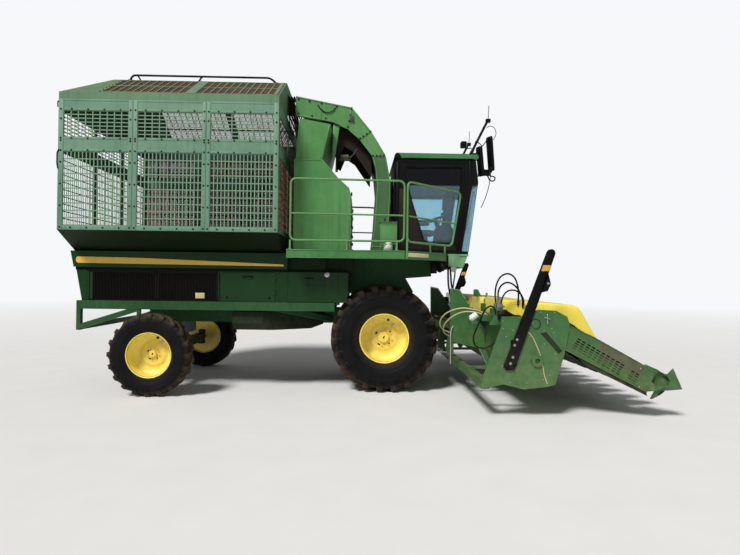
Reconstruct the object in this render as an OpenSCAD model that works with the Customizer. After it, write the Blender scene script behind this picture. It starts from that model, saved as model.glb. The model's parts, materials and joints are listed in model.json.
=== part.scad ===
// Cotton harvester of the stripper type with a six row header.
// Machine frame: +X forward, +Y to the machine's left, +Z up, ground at Z = 0.
// Inside the modules X = 0 is the front axle; in_place() moves it to the middle of the length.

/* [Wheels] */
// Distance between front and rear axle
wheelbase = 3880; // [3700:10:4100]
// Overall diameter of the front tyre over its lugs
front_tyre_d = 1880; // [1820:10:1920]
// Width of the front tyre
front_tyre_w = 600; // [560:10:620]
// Diameter of the front rim over its flange
front_rim_d = 868; // [800:4:920]
// Distance between the middles of the front tyres
front_track = 2000; // [1980:10:2060]
// Overall diameter of the rear tyre over its ribs
rear_tyre_d = 1360; // [1300:10:1420]
// Width of the rear tyre
rear_tyre_w = 350; // [320:10:370]
// Depth of the front wheel disc behind the outer edge of the rim
front_dish = 260; // [200:5:280]
// Depth of the rear wheel disc behind the outer edge of the rim
rear_dish = 230; // [180:5:235]
// Diameter of the rear rim over its flange
rear_rim_d = 748; // [700:4:780]
// Distance between the middles of the rear tyres
rear_track = 3260; // [3200:10:3300]
// Height of the lugs on the front tyre
lug_h = 44; // [30:1:60]
// Number of lugs on each half of a front tyre
front_lugs = 22; // [16:1:26]
// Number of lugs on each half of a rear tyre
rear_lugs = 20; // [16:1:26]

/* [Body] */
// Height of the top of the side beams
beam_top = 1551; // [1500:1:1600]
// Height of the side beams' section
beam_h = 144; // [120:1:170]
// Width of the body over its side panels
body_w = 2680; // [2600:10:2760]
// Height of the deck under the basket
deck_z = 2400; // [2350:1:2450]
// Rear end of the body at the deck, behind the front axle
body_rear = 5380; // [5300:10:5450]
// Front end of the body panels, behind the front axle
body_front = 640; // [560:10:700]
// Thickness of the body panels
panel_t = 20; // [10:1:30]
// Lower edge of the proud upper side panel
lip_z = 2123; // [2100:1:2160]

/* [Platform] */
// Height of the platform floor
floor_z = 2450; // [2430:1:2480]
// Width of the platform
platform_w = 3500; // [3400:10:3560]
// Height of the platform's edge strip
valance_h = 140; // [100:1:160]
// Height of the handrail above the floor
rail_h = 1160; // [1000:10:1250]
// Diameter of the handrail tube
rail_d = 36; // [28:1:42]

/* [Cab] */
// Rear face of the cab ahead of the front axle
cab_rear = 190; // [180:5:230]
// Width of the cab
cab_w = 1760; // [1700:10:1800]
// Height of the underside of the roof
roof_z = 4172; // [4100:1:4220]
// Thickness of the roof
roof_t = 95; // [70:1:130]
// Thickness of the cab walls
cab_wall = 40; // [30:1:50]

/* [Basket] */
// Width of the basket
basket_w = 3660; // [3600:10:3700]
// Rear face of the basket behind the front axle
basket_rear = 5356; // [5300:1:5380]
// Front face of the basket behind the front axle
basket_front = 1795; // [1780:1:1850]
// Lower edge of the basket walls
basket_z = 2714; // [2690:1:2740]
// Seam between basket walls and hood
eave_z = 4840; // [4800:1:4900]
// Height of the top of the hood
hood_z = 5490; // [5400:1:5520]
// Thickness of the basket frame
basket_t = 20; // [16:1:30]

/* [Header] */
// Distance between crop rows
row_pitch = 1016; // [1000:1:1030]
// Number of rows
rows = 6; // [6:2:6]
// Half width of the header to its outer side plates
header_half = 3060; // [3040:5:3090]
// Diameter of the cross auger over its flights
auger_d = 520; // [460:10:560]
// Diameter of the stripper rolls
roll_d = 112; // [100:1:120]

/* [Hidden] */
$fn = 48;

// Nose tip of the header and tail of the body give the length, whose middle is the origin
nose_x = 4190;
frame_x = (body_rear - nose_x) / 2;
gap = 0.3;

// Wheels and axles
front_z = front_tyre_d / 2;
rear_z = rear_tyre_d / 2;
front_y = front_track / 2;
rear_y = rear_track / 2;
front_seat_r = front_rim_d / 2 - 28;
rear_seat_r = rear_rim_d / 2 - 22;
flange_t = 12;
// Outer faces of the wheel discs from the middle of the tyre, negative is outward
front_face = front_dish - 0.37 * front_tyre_w - flange_t;
rear_face = rear_dish - 0.37 * rear_tyre_w - flange_t;
spindle_d = 150;
kingpin_y = rear_y - 250;
kingpin_d = 60;
beam_y = body_w / 2;
beam_bot = beam_top - beam_h;
rail_y = 450;
rail_w = 130;
steer_arm = 300;
// Ends of the brace from the outer beam to the inner rail
brace_a = [-2130, -beam_y + 10, beam_top - 111];
brace_b = [-1000, -rail_y - 90, 1170];

// Header pivot and lift cylinder
pivot_x = 300;
pivot_z = 1250;
pivot_d = 62;
hinge_xs = [-5200, -3600, -2000];
arm_y = 600;
lift_base = [330, 700];
lift_eye = [1230, 640];
lift_d = 90;

// Basket hinge and dump cylinder, as [y, z]
dump_hinge = [beam_y + 40, deck_z + 36];
dump_base = [850, 1450];
dump_eye = [300, deck_z - 110];
dump_d = 96;
dump_xs = [-5035, -1935];
pin_d = 44;
// Room round the pin in the rod eyes, where the linkage is left open
dump_free = 31;
lift_free = 4;

// Slope of the row units
row_slope = 26.7;
row_ys = [for (i = [0 : rows - 1]) (i - (rows - 1) / 2) * row_pitch];

module in_place() translate([frame_x, 0, 0]) children();
module both_sides() { children(); mirror([0, 1, 0]) children(); }

// Thin joints that part a shell into plates, across X, Y and Z
module joint_x(x) translate([x - gap / 2, -5000, 0]) cube([gap, 10000, 6000]);
module joint_y(y) translate([-7000, y - gap / 2, 0]) cube([14000, gap, 6000]);
module joint_z(z) translate([-7000, -5000, z - gap / 2]) cube([14000, 10000, gap]);

// Plate in the XZ plane, its middle at y = 0
module xz_plate(t) translate([0, t / 2, 0]) rotate([90, 0, 0]) linear_extrude(t) children();

// Solid along X from x0 with its section in the YZ plane
module yz_bar(x0, length) translate([x0, 0, 0]) rotate([90, 0, 90]) linear_extrude(length) children();

// Round bar between two points
module rod(a, b, d) {
    v = b - a;
    translate(a)
        rotate([0, acos(v[2] / norm(v)), atan2(v[1], v[0])])
            cylinder(d = d, h = norm(v), $fn = 24);
}

// Flat bar between two points of the XZ plane
module bar_xz(a, b, h, t) {
    v = b - a;
    translate([a[0], -t / 2, a[1]])
        rotate([0, -atan2(v[1], v[0]), 0])
            translate([0, 0, -h / 2]) cube([norm(v), t, h]);
}

module y_cyl(d, y0, y1) translate([0, y0, 0]) rotate([-90, 0, 0]) cylinder(d = d, h = y1 - y0);

// Tyre with its axis on Y, sidewalls as straight runs between rim seat and tread
module tyre(d, w, seat_r, lugs, h, lug_w, skew) {
    r = d / 2;
    band = r - h;
    rotate([-90, 0, 0]) rotate_extrude($fn = 96) polygon([
        [seat_r, -0.37 * w], [seat_r + 29, -0.37 * w], [seat_r + 50, -0.43 * w], [(seat_r + band) / 2 + 20, -0.5 * w],
        [band - 35, -0.47 * w], [band, -0.36 * w],
        [band, 0.36 * w], [band - 35, 0.47 * w],
        [(seat_r + band) / 2 + 20, 0.5 * w], [seat_r + 50, 0.43 * w], [seat_r + 29, 0.37 * w], [seat_r, 0.37 * w]
    ]);
    for (side = [0, 1], k = [0 : lugs - 1])
        rotate([0, (k + side / 2) * 360 / lugs, 0])
            mirror([0, side, 0])
                translate([0, w / 4, 0]) rotate([0, 0, skew]) translate([-lug_w / 2, -w / 4, 0])
                    yz_bar(0, lug_w) polygon([
                        [0.02 * w, band - 12], [0.02 * w, r], [0.42 * w, r - 8],
                        [0.49 * w, band - 30], [0.49 * w, band - 85], [0.42 * w, band - 60]
                    ]);
}

// Wheel disc with its axis on Y, outer side towards -Y
module rim(rim_d, seat_r, w, dish, bolt_r, bolts) {
    half = 0.37 * w + flange_t;
    face = dish - half;
    difference() {
        rotate([90, 0, 0]) rotate_extrude($fn = 96) polygon([
            [0, -face - 20], [0.24 * rim_d, -face - 20], [0.30 * rim_d, -face - 46],
            [seat_r - 12, -face - 30], [seat_r - 12, -half], [rim_d / 2, -half],
            [rim_d / 2, -half + flange_t], [seat_r, -half + flange_t], [seat_r, half - flange_t],
            [rim_d / 2, half - flange_t], [rim_d / 2, half], [seat_r - 12, half],
            [seat_r - 12, -face], [0.31 * rim_d, -face - 28], [0.25 * rim_d, -face], [0, -face]
        ]);
        rotate([0, 20, 0]) translate([0, 0, 0.34 * rim_d]) rotate([90, 0, 0])
            cylinder(d = 46, h = w, center = true);
    }
    y_cyl(0.22 * rim_d, face - 40, face + 1);
    for (k = [0 : bolts - 1]) rotate([0, k * 360 / bolts, 0])
        translate([0, 0, bolt_r]) y_cyl(34, face - 22, face + 1);
}

module main_frame() color("#1f5a2a") in_place() {
    beam_x = -body_rear + 180;
    both_sides() {
        // outer beam
        translate([beam_x + gap, -beam_y, beam_bot]) cube([-870 - beam_x - gap, 120, beam_h]);
        // rear post with its diagonal brace
        translate([beam_x - 70, -beam_y, 1045]) cube([70, 90, beam_top - 1045]);
        difference() {
            translate([0, -beam_y + 35, 0]) bar_xz([beam_x - 40, 1095], [-4215, beam_bot + 20], 90, 60);
            translate([beam_x - 200, -beam_y - 10, 900]) cube([200 + gap, 200, 700]);
            translate([beam_x - 200, -beam_y - 10, beam_bot - gap]) cube([1400, 200, 400]);
        }
        // inner rail from the rear axle to the front axle plate
        translate([-wheelbase - 450, -rail_y - rail_w / 2, 1150]) cube([wheelbase - 150 - gap, rail_w, 250]);
        // front side plate that carries cab and header
        translate([0, -rail_y, 0]) xz_plate(rail_w) polygon([
            [-600, 1150], [-600, floor_z - 24], [900, floor_z - 24], [900, 2040], [420, 2000], [560, 1760],
            [440, 1150], [380, 560], [240, 560], [160, 800], [-200, 800], [-330, 1150]
        ]);
    }
    for (x = [-body_rear + 180, -4300, -3200, -2100, -1010])
        translate([x, -beam_y + 120 + gap, beam_bot + 4]) cube([110, body_w - 240 - 2 * gap, beam_h - 24]);
    translate([beam_x - 60, -beam_y + 90 + gap, 1050]) cube([60, body_w - 180 - 2 * gap, 90]);
    // pedestal over the rear axle
    translate([-wheelbase - 130, -rail_y, 900]) cube([260, 2 * rail_y, 250 - gap]);
    translate([-wheelbase - 60, -200, rear_z + 80]) cube([120, 400, 920 - rear_z - 80]);
    // braces from the outer beams to the inner rails
    both_sides() difference() {
        hull() {
            translate(brace_a) cube([60, 40, 100]);
            translate(brace_b) cube([60, 40, 100]);
        }
        translate([-2200, -beam_y - 10, beam_bot - gap]) cube([1400, 130 + gap, beam_h + 20]);
        translate([-1060, -rail_y - rail_w / 2 - gap, 1100]) cube([200, rail_w, 400]);
    }
    // cross boxes under the cab
    translate([-560, -rail_y + rail_w / 2 + gap, 2120]) cube([200, 2 * rail_y - rail_w - 2 * gap, 150]);
    translate([700, -rail_y + rail_w / 2 + gap, 2090]) cube([160, 2 * rail_y - rail_w - 2 * gap, 180]);
    // pins of the header arms and of the lift cylinders
    both_sides() for (p = [[pivot_x, pivot_z, pivot_d], [lift_base[0], lift_base[1], pin_d]])
        translate([p[0], 0, p[1]]) y_cyl(p[2], -arm_y - 40, -rail_y);
    // ears of the basket hinge and pins of the dump cylinders
    for (x = hinge_xs) {
        yz_bar(x - 20, 40) polygon([
            [beam_y, deck_z - 120], [dump_hinge[0] + 24, dump_hinge[1] - 30], [dump_hinge[0] + 24, dump_hinge[1] + 22],
            [dump_hinge[0] - 24, dump_hinge[1] + 22], [beam_y, deck_z - 10]
        ]);
        translate([x, dump_hinge[0], dump_hinge[1]]) rotate([0, 90, 0]) cylinder(d = 30, h = 70);
    }
    for (x = dump_xs) translate([x - 70, dump_base[0], dump_base[1]]) rotate([0, 90, 0])
        cylinder(d = pin_d, h = 115);
}

module front_axle() color("#1f5a2a") in_place() translate([0, 0, front_z]) {
    y_cyl(250, -rail_y + rail_w / 2 + gap, rail_y - rail_w / 2 - gap);
    both_sides() {
        translate([0, -rail_y - rail_w / 2, 0]) {
            y_cyl(420, -110, 0);
            y_cyl(spindle_d, gap - (front_y - front_face - 20 - rail_y - rail_w / 2), 0);
        }
    }
}

module rear_axle() color("#1f5a2a") in_place() translate([-wheelbase, 0, rear_z]) {
    translate([-80, -kingpin_y + 110, -80]) cube([160, 2 * kingpin_y - 220, 160 - gap]);
    both_sides() for (z = [-150, 90])
        translate([0, -kingpin_y, z]) difference() {
            union() {
                cylinder(d = 130, h = 60);
                translate([-55, 0, 0]) cube([110, 90, 60]);
            }
            translate([0, 0, -1]) cylinder(d = kingpin_d + 2 * gap, h = 62);
        }
    both_sides() translate([-40, -kingpin_y + 60, -150]) cube([80, 60, 300]);
}

// Knuckle of the right side, its kingpin on the Z axis
module knuckle() {
    cylinder(d = kingpin_d, h = 310, center = true);
    translate([0, 0, -90 + gap]) cylinder(d = 110, h = 180 - 2 * gap);
    y_cyl(90, -(rear_y - kingpin_y - rear_face - 20) + gap, 0);
    // steering arm points back
    translate([-steer_arm, -25, -60]) cube([steer_arm - 40, 50, 40]);
    translate([-steer_arm, 0, -60]) cylinder(d = 60, h = 40);
}

module knuckle_right() color("#1f5a2a") in_place() translate([-wheelbase, -kingpin_y, rear_z]) knuckle();
module knuckle_left() color("#1f5a2a") in_place()
    translate([-wheelbase, kingpin_y, rear_z]) mirror([0, 1, 0]) knuckle();

module tie_rod() color("#2b2b2b") in_place() translate([-wheelbase - steer_arm, 0, rear_z - 80]) {
    y_cyl(40, -kingpin_y, kingpin_y);
    both_sides() translate([0, -kingpin_y, -20]) cylinder(d = 56, h = 40 - gap);
}

module front_wheel_at(side) in_place()
    translate([0, side * front_y, front_z]) mirror([0, side > 0 ? 1 : 0, 0]) children();
module rear_wheel_at(side) in_place()
    translate([-wheelbase, side * rear_y, rear_z]) mirror([0, side > 0 ? 1 : 0, 0]) children();

module front_rim() color("#e0b81c") rim(front_rim_d, front_seat_r, front_tyre_w, front_dish, 150, 8);
module rear_rim() color("#e0b81c") rim(rear_rim_d, rear_seat_r, rear_tyre_w, rear_dish, 98, 8);
module front_tyre() color("#2a2927") tyre(front_tyre_d, front_tyre_w, front_seat_r, front_lugs, lug_h, 62, 38);
module rear_tyre() color("#2a2927") tyre(rear_tyre_d, rear_tyre_w, rear_seat_r, rear_lugs, 26, 44, 38);

module front_rim_right() front_wheel_at(-1) front_rim();
module front_rim_left() front_wheel_at(1) front_rim();
module front_tyre_right() front_wheel_at(-1) front_tyre();
module front_tyre_left() front_wheel_at(1) front_tyre();
module rear_rim_right() rear_wheel_at(-1) rear_rim();
module rear_rim_left() rear_wheel_at(1) rear_rim();
module rear_tyre_right() rear_wheel_at(-1) rear_tyre();
module rear_tyre_left() rear_wheel_at(1) rear_tyre();

// Bays of the body side as [rear x, front x] behind the front axle
screen_bay = [-5020, -2850];
screen_mid = -3824;
door_bay = [-2838, -1896];
side_hinge = [door_bay[1] + 5, -beam_y + 1.5 * panel_t - 1];
front_top = 2080;
// Height at which the front panels clear the front tyre
arch_z = front_z + sqrt(pow(front_tyre_d / 2 + 30, 2) - pow(body_front, 2));

module body_shell() color("#2f7d3b") in_place() {
    inner_w = body_w - 8 * panel_t - 4 * gap;
    both_sides() {
        // proud upper panel that carries the stripe
        translate([0, -beam_y + panel_t, 0]) xz_plate(2 * panel_t) polygon([
            [-body_rear, deck_z - panel_t - gap], [-body_rear + 54, lip_z], [-1690, lip_z], [-1690, deck_z - panel_t - gap]
        ]);
        // posts and front lower panel, set back under the lip
        translate([0, -beam_y + 3 * panel_t + gap, 0]) xz_plate(2 * panel_t) difference() {
            polygon([
                [-body_rear + 182, beam_top], [-body_rear + 70, lip_z + 40], [-1690, lip_z + 40], [-1690, front_top],
                [-body_front, front_top], [-body_front, arch_z], [-body_front - 150, beam_top]
            ]);
            translate([screen_bay[0], beam_top]) square([screen_bay[1] - screen_bay[0], lip_z - beam_top - 60]);
            translate([door_bay[0], beam_top]) square([door_bay[1] - door_bay[0], lip_z - beam_top - 60]);
            // joints over the middle of each bay's post
            for (x = [screen_bay[0] - 4, (screen_bay[1] + door_bay[0]) / 2, door_bay[1] + 4, -1690])
                translate([x - gap / 2, beam_top + (x > -1700 ? 0 : lip_z - beam_top - 60)]) square([gap, 900]);
        }
    }
    // deck with the slots of the dump cylinders, and slanted rear panel
    difference() {
        translate([-body_rear, -beam_y, deck_z - panel_t]) cube([body_rear - 1690, body_w, panel_t]);
        for (x = dump_xs) translate([x - 75, dump_eye[0] - 150, deck_z - 2 * panel_t])
            cube([150, dump_base[0] - dump_eye[0] + 180, 4 * panel_t]);
        for (x = dump_xs, s = [-75, 75]) joint_x(x + s);
    }
    xz_plate(inner_w) polygon([
        [-body_rear + 4, deck_z - panel_t - gap], [-body_rear + 162, beam_top],
        [-body_rear + 162 + panel_t, beam_top], [-body_rear + 4 + panel_t, deck_z - panel_t - gap]
    ]);
    // bulkheads between engine bay and cab end
    translate([-1710, -inner_w / 2, beam_top]) cube([panel_t, inner_w, deck_z - beam_top - panel_t - gap]);
    translate([-body_front - panel_t, -inner_w / 2, arch_z]) cube([panel_t, inner_w, front_top - arch_z]);
}

// Slotted screen plates in the rear bay of each side
module air_screens() color("#20201c") in_place() both_sides()
    for (b = [[screen_bay[0] + 4, screen_mid - 10], [screen_mid + 10, screen_bay[1] - 4]])
        translate([0, -beam_y + 3 * panel_t + gap, 0]) xz_plate(16) difference() {
            translate([b[0], beam_top + gap]) square([b[1] - b[0], lip_z - beam_top - 64]);
            for (k = [1 : 16])
                translate([b[0] + k * (b[1] - b[0]) / 17 - 14, beam_top + 40])
                    square([28, lip_z - beam_top - 140]);
        }

// Hinge barrels on a vertical axis at [x, y], their leaves towards direction dir in X
hinge_r = 11 - gap;
module hinge_barrels(at, zs, dir) for (z = zs) translate([at[0], at[1], z]) {
    cylinder(r = hinge_r, h = 70);
    translate([dir > 0 ? 7 : -47, at[1] > 0 ? -11 : 5, 5]) cube([40, 6, 60]);
}

module service_door() {
    hinge_barrels(side_hinge, [beam_top + 130, lip_z - 200], -1);
    translate([0, -beam_y + 2.5 * panel_t, 0]) xz_plate(panel_t)
        translate([door_bay[0] + 5, beam_top + 5])
            square([door_bay[1] - door_bay[0] - 10, lip_z - beam_top - 70]);
    // handle
    translate([(door_bay[0] + door_bay[1]) / 2 - 60, -beam_y + 1.5 * panel_t, lip_z - 170]) cube([120, 12, 24]);
}
module service_door_right() color("#2f7d3b") in_place() service_door();
module service_door_left() color("#2f7d3b") in_place() mirror([0, 1, 0]) service_door();

module engine() color("#3b4038") in_place()
    translate([-4290, -400, beam_top - 20]) cube([1390, 800, 800]);

// Tank on each side of the inner rail, its outer face tapered behind the brace
module fuel_tanks() color("#173a1c") in_place() both_sides() {
    rail_face = -rail_y - rail_w / 2;
    intersection() {
        yz_bar(-2640, 1600) polygon([
            [-1250, beam_bot - 22], [-1250, 1180], [-1130, 1060], [-700, 1060], [rail_face, 1150], [rail_face, beam_bot - 22]
        ]);
        linear_extrude(beam_top) polygon([
            [-2640, -1250], [brace_a[0] + 20, -1250], [-1110, brace_b[1] - 10], [-1110, rail_face], [-2640, rail_face]
        ]);
    }
}

// Platform outline as [x, y] of its right half
taper_x = 285;
platform_front = 1090;
module platform() color("#35873f") in_place() {
    outline = [
        [-1660, -platform_w / 2], [taper_x, -platform_w / 2], [platform_front, -1090],
        [platform_front, 1090], [taper_x, platform_w / 2], [-1660, platform_w / 2]
    ];
    translate([0, 0, floor_z - 24]) linear_extrude(24) polygon(outline);
    difference() {
        translate([0, 0, floor_z - valance_h]) linear_extrude(valance_h - 24 - gap) difference() {
            polygon(outline);
            polygon([
                [-1640, -platform_w / 2 + 16], [taper_x - 8, -platform_w / 2 + 16], [platform_front - 16, -1082],
                [platform_front - 16, 1082], [taper_x - 8, platform_w / 2 - 16], [-1640, platform_w / 2 - 16]
            ]);
        }
        for (x = [-1640, taper_x - 4, platform_front - 16]) joint_x(x);
    }
}

// Tube in the XZ plane along points, with its inner corners bent to radius r
module bent_tube(p, r, d) {
    n = len(p);
    u = [for (i = [0 : n - 2]) (p[i + 1] - p[i]) / norm(p[i + 1] - p[i])];
    turn = [0, for (i = [1 : n - 2]) (atan2(u[i][1], u[i][0]) - atan2(u[i - 1][1], u[i - 1][0]) + 540) % 360 - 180, 0];
    cut = [for (t = turn) r * tan(abs(t) / 2)];
    for (i = [0 : n - 2]) xz_rod(p[i] + u[i] * cut[i], p[i + 1] - u[i] * cut[i + 1], d);
    for (i = [1 : n - 2]) {
        s = turn[i] > 0 ? 1 : -1;
        c = p[i] - u[i - 1] * cut[i] + s * r * [-u[i - 1][1], u[i - 1][0]];
        start = atan2(u[i - 1][1], u[i - 1][0]) - s * 90 + (s < 0 ? turn[i] : 0);
        translate([c[0], 0, c[1]]) rotate([0, -start, 0]) rotate([90, 0, 0])
            rotate_extrude(angle = abs(turn[i])) translate([r, 0]) circle(d = d, $fn = 24);
    }
}

// Rail ring that stands at plan point a towards plan point b
module rail_loop(a, b, foot, top, mids) {
    l = norm(b - a);
    translate([a[0], a[1], 0]) rotate(atan2(b[1] - a[1], b[0] - a[0])) {
        bent_tube([[0, foot], [0, top], [l, top], [l, foot]], 90, rail_d);
        for (x = [0, l]) translate([x, 0, foot]) sphere(d = rail_d + 8, $fn = 24);
        for (z = mids) xz_rod([0, z], [l, z], 0.8 * rail_d);
    }
}
module handrails() color("#3f9a4a") in_place() {
    y = platform_w / 2 - 30;
    foot = floor_z + rail_d / 2 + 4 + gap;
    mids = [floor_z + 155, floor_z + 588];
    rail_loop([-1620, -y], [taper_x, -y], foot, floor_z + rail_h, mids);
    rail_loop([taper_x + 50, -y + 20], [platform_front - 50, -1120], foot, floor_z + rail_h - 30, mids);
    rail_loop([-1620, y], [-80, y], foot, floor_z + rail_h, mids);
}

module ladder() color("#35873f") in_place() translate([0, platform_w / 2, 0]) {
    for (x = [0, 450]) translate([x, 0, 420]) cube([30, 90, floor_z - 420]);
    for (z = [450 : 330 : 2200]) translate([25, 0, z]) cube([430, 90, 40]);
}

// Side outline of the cab between rear face and front corner post
cab_side = [
    [cab_rear, floor_z], [1380, floor_z], [1560, 3758], [1545, roof_z], [cab_rear, roof_z]
];
window = [[350, 4020], [1400, 4026], [1236, 2644], [740, 2664], [700, 2704], [340, 3880]];
door_x = [cab_rear + 60, 1290];
cab_hinge = [door_x[0], cab_w / 2 + 11];

module cab_door_shape() polygon([
    [door_x[0], floor_z + 40], [door_x[1], floor_z + 40], [door_x[1] + 170, 3700],
    [door_x[1] + 165, roof_z - 40], [door_x[0], roof_z - 40]
]);

inner = cab_w - 2 * cab_wall - 2 * gap;
module cab_frame() color("#1d1b18") in_place() {
    // right wall with its window
    translate([0, -(cab_w - cab_wall) / 2, 0]) xz_plate(cab_wall) difference() {
        polygon(cab_side);
        polygon(window);
    }
    // left wall as posts, sill and top round the door opening
    difference() {
        translate([0, (cab_w - cab_wall) / 2, 0]) xz_plate(cab_wall) difference() {
            polygon(cab_side);
            cab_door_shape();
        }
        intersection() {
            union() {
                joint_z(floor_z + 40);
                joint_z(roof_z - 40);
            }
            translate([0, 0, floor_z]) cube([3000, cab_w, 3000]);
        }
    }
    // rear wall with its window, floor and front sill
    difference() {
        translate([cab_rear, -inner / 2, floor_z + 50 + gap]) cube([cab_wall, inner, roof_z - floor_z - 50 - gap]);
        translate([cab_rear - 1, -600, 3150]) cube([cab_wall + 2, 1200, 850]);
    }
    translate([cab_rear, -inner / 2, floor_z]) cube([1340, inner, 50]);
    translate([1350, -inner / 2, roof_z - 60]) cube([190, inner, 60]);
}

module cab_roof() color("#2f7d3b") in_place() {
    translate([0, 0, 0]) xz_plate(cab_w + 60) polygon([
        [cab_rear - 30, roof_z], [1680, roof_z], [1690, roof_z + roof_t - 20], [1640, roof_z + roof_t],
        [cab_rear + 10, roof_z + roof_t], [cab_rear - 30, roof_z + roof_t - 30]
    ]);
}

module cab_glass() color("#6fb3ae") in_place() {
    // wrap-round windscreen
    difference() {
        xz_plate(cab_w - 4) polygon([
            [1392, floor_z + 50], [1530, floor_z + 50], [1692, 3758], [1643, roof_z],
            [1552, roof_z], [1566, 3758]
        ]);
        xz_plate(cab_w - 20) polygon([
            [1300, floor_z + 30], [1518, floor_z + 30], [1680, 3758], [1631, roof_z + 20], [1300, roof_z + 20]
        ]);
    }
    // right window pane and rear pane
    translate([0, -(cab_w - cab_wall) / 2, 0]) xz_plate(8) polygon(window);
    translate([cab_rear + cab_wall / 2 - 4, -600, 3150]) cube([8, 1200, 850]);
}

door_window = [[350, 4010], [1395, 4010], [1236, 2644], [740, 2644], [700, 2704], [340, 3880]];
module cab_door() color("#1d1b18") in_place() {
    hinge_barrels(cab_hinge, [floor_z + 200, 3200, 3900], 1);
    translate([0, (cab_w - cab_wall) / 2, 0]) xz_plate(cab_wall) difference() {
        polygon([
            [door_x[0] + 5, floor_z + 45], [door_x[1] - 6, floor_z + 45], [door_x[1] + 164, 3700],
            [door_x[1] + 159, roof_z - 45], [door_x[0] + 5, roof_z - 45]
        ]);
        polygon(door_window);
    }
}
module cab_door_glass() color("#6fb3ae") in_place()
    translate([0, (cab_w - cab_wall) / 2, 0]) xz_plate(8) polygon(door_window);

// Tapered box below the windscreen
module cab_skirt() color("#35873f") in_place() xz_plate(cab_w + 20) polygon([
    [1160, 2220], [1430, 2200], [1530, floor_z], [1160, floor_z]
]);

module seat() color("#3a3a38") in_place() translate([500, -260, floor_z + 50]) {
    translate([130, 130, 0]) cube([260, 260, 330]);
    translate([0, 0, 330]) cube([520, 520, 120]);
    translate([0, 30, 450]) rotate([0, -8, 0]) cube([110, 460, 640]);
}

module steering_column() color("#222222") in_place() translate([1270, 0, floor_z + 50]) {
    cylinder(d = 140, h = 40);
    translate([0, 0, 18]) rotate([0, -20, 0]) {
        cylinder(d = 90, h = 700);
        translate([0, 0, 700]) rotate_extrude() translate([190, 0]) circle(d = 30, $fn = 24);
        for (a = [0 : 120 : 240]) rotate([0, 0, a]) translate([0, -12, 690]) cube([190, 24, 18]);
    }
}

// Roof bar with the aerial on its end block, and two mirrors on a cross bar
mast_a = [1590, -880, roof_z + roof_t + 24];
mast_b = [1869, -880, 4880];
module mirrors() color("#191919") in_place() both_sides() {
    translate([1540, -920, roof_z + roof_t]) cube([100, 80, 36]);
    rod(mast_a, mast_b, 42);
    translate(mast_b - [40, 32, 20]) cube([76, 64, 50]);
    translate(mast_b) cylinder(d = 14, h = 280, $fn = 24);
    translate([0, mast_b[1], 0]) bar_xz([1670, 4440], [1960, 4300], 30, 26);
    translate([1700, -960, 3880]) cube([50, 140, 520]);
    translate([1890, -960, 3980]) cube([50, 140, 600]);
}

module lamps() color("#d8d8d2") in_place() both_sides() {
    translate([1400, -700, roof_z + roof_t]) cube([60, 40, 60]);
    translate([1390, -740, roof_z + roof_t + 50]) cube([90, 120, 110]);
    translate([930, -1185, floor_z - valance_h - 130]) rotate([0, 90, 0]) cylinder(d = 120, h = 70);
    translate([940, -1200, floor_z - valance_h - 100]) cube([40, 30, 100]);
}

module lower_duct() color("#1f5a2a") in_place() {
    xz_plate(2 * rail_y - rail_w) polygon([
        [-240, floor_z - 24], [60, floor_z - 24], [60, 1900], [250, 1650], [950, 1330], [950, 900],
        [250, 1120], [-240, 1500]
    ]);
}

duct_w = 1500;
duct_wall = 20;
duct_top = 4235;
module upright_duct() color("#3c9147") in_place() xz_plate(duct_w) polygon([
    [-242, floor_z], [-186, 2949], [-169, 3260], [-143, 3675], [-178, 4006], [-243, duct_top],
    [12, duct_top], [60, 3989], [98, 3782], [98, 3471], [82, 3057], [70, floor_z]
]);

// Curved hood that turns the cotton back into the basket
bend_o = [-640, 4500];
// Hood of flat bolted facets, open below between its side plates
hood_line = [[-1650, 5310], [-627, 5116], [-270, 4688], [-6, 4257]];
module duct_hood() color("#3c9147") in_place() {
    skin_w = duct_w - 2 * duct_wall - 2 * gap;
    both_sides() translate([0, -(duct_w - duct_wall) / 2, 0]) xz_plate(duct_wall) polygon([
        for (p = hood_line) p, [-6, duct_top + gap], [-243, duct_top + gap], [-485, 4539], [-700, 4720],
        [-840, 4781], [-975, 4841], [-1650, 4942]
    ]);
    for (i = [0 : 2]) {
        u = (hood_line[i + 1] - hood_line[i]) / norm(hood_line[i + 1] - hood_line[i]);
        side = duct_wall / 2 * [-u[1], u[0]];
        bar_xz(hood_line[i] - side + 8 * u, hood_line[i + 1] - side - 8 * u, duct_wall, skin_w);
    }
    translate([-46, -skin_w / 2, duct_top + gap]) cube([20, skin_w, 30]);
}

module cleaner_box() color("#3f9a4a") in_place() {
    xz_plate(2400) polygon([
        [-1614, floor_z], [-617, floor_z], [-600, 3393], [-641, 3551], [-841, 3726], [-1119, 4050], [-1614, 4057]
    ]);
    xz_plate(2360) polygon([[-1594, 4045], [-1131, 4043], [-982, 4682], [-1535, 4781]]);
}

// Basket wall with one upper and one lower window between each pair of posts
basket_l = basket_rear - basket_front;
// posts along a side wall as [start, width] from the rear face
side_posts = [[0, 82], [1125, 145], [2320, 130], [basket_l - 78, 78]];
window_rows = [[basket_z + 76, 3985], [4220, 4650]];
module basket_side_outline() difference() {
    translate([0, basket_z]) square([basket_l, eave_z - basket_z]);
    side_windows();
}
module side_windows() for (i = [0 : 2], r = window_rows)
    translate([side_posts[i][0] + side_posts[i][1], r[0]])
        square([side_posts[i + 1][0] - side_posts[i][0] - side_posts[i][1], r[1] - r[0]]);
end_l = basket_w - 2 * basket_t - 2 * gap;
module end_windows() for (i = [0 : 2], r = window_rows)
    translate([80 + i * (end_l - 40) / 3, r[0]]) square([(end_l - 40) / 3 - 80, r[1] - r[0]]);

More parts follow.
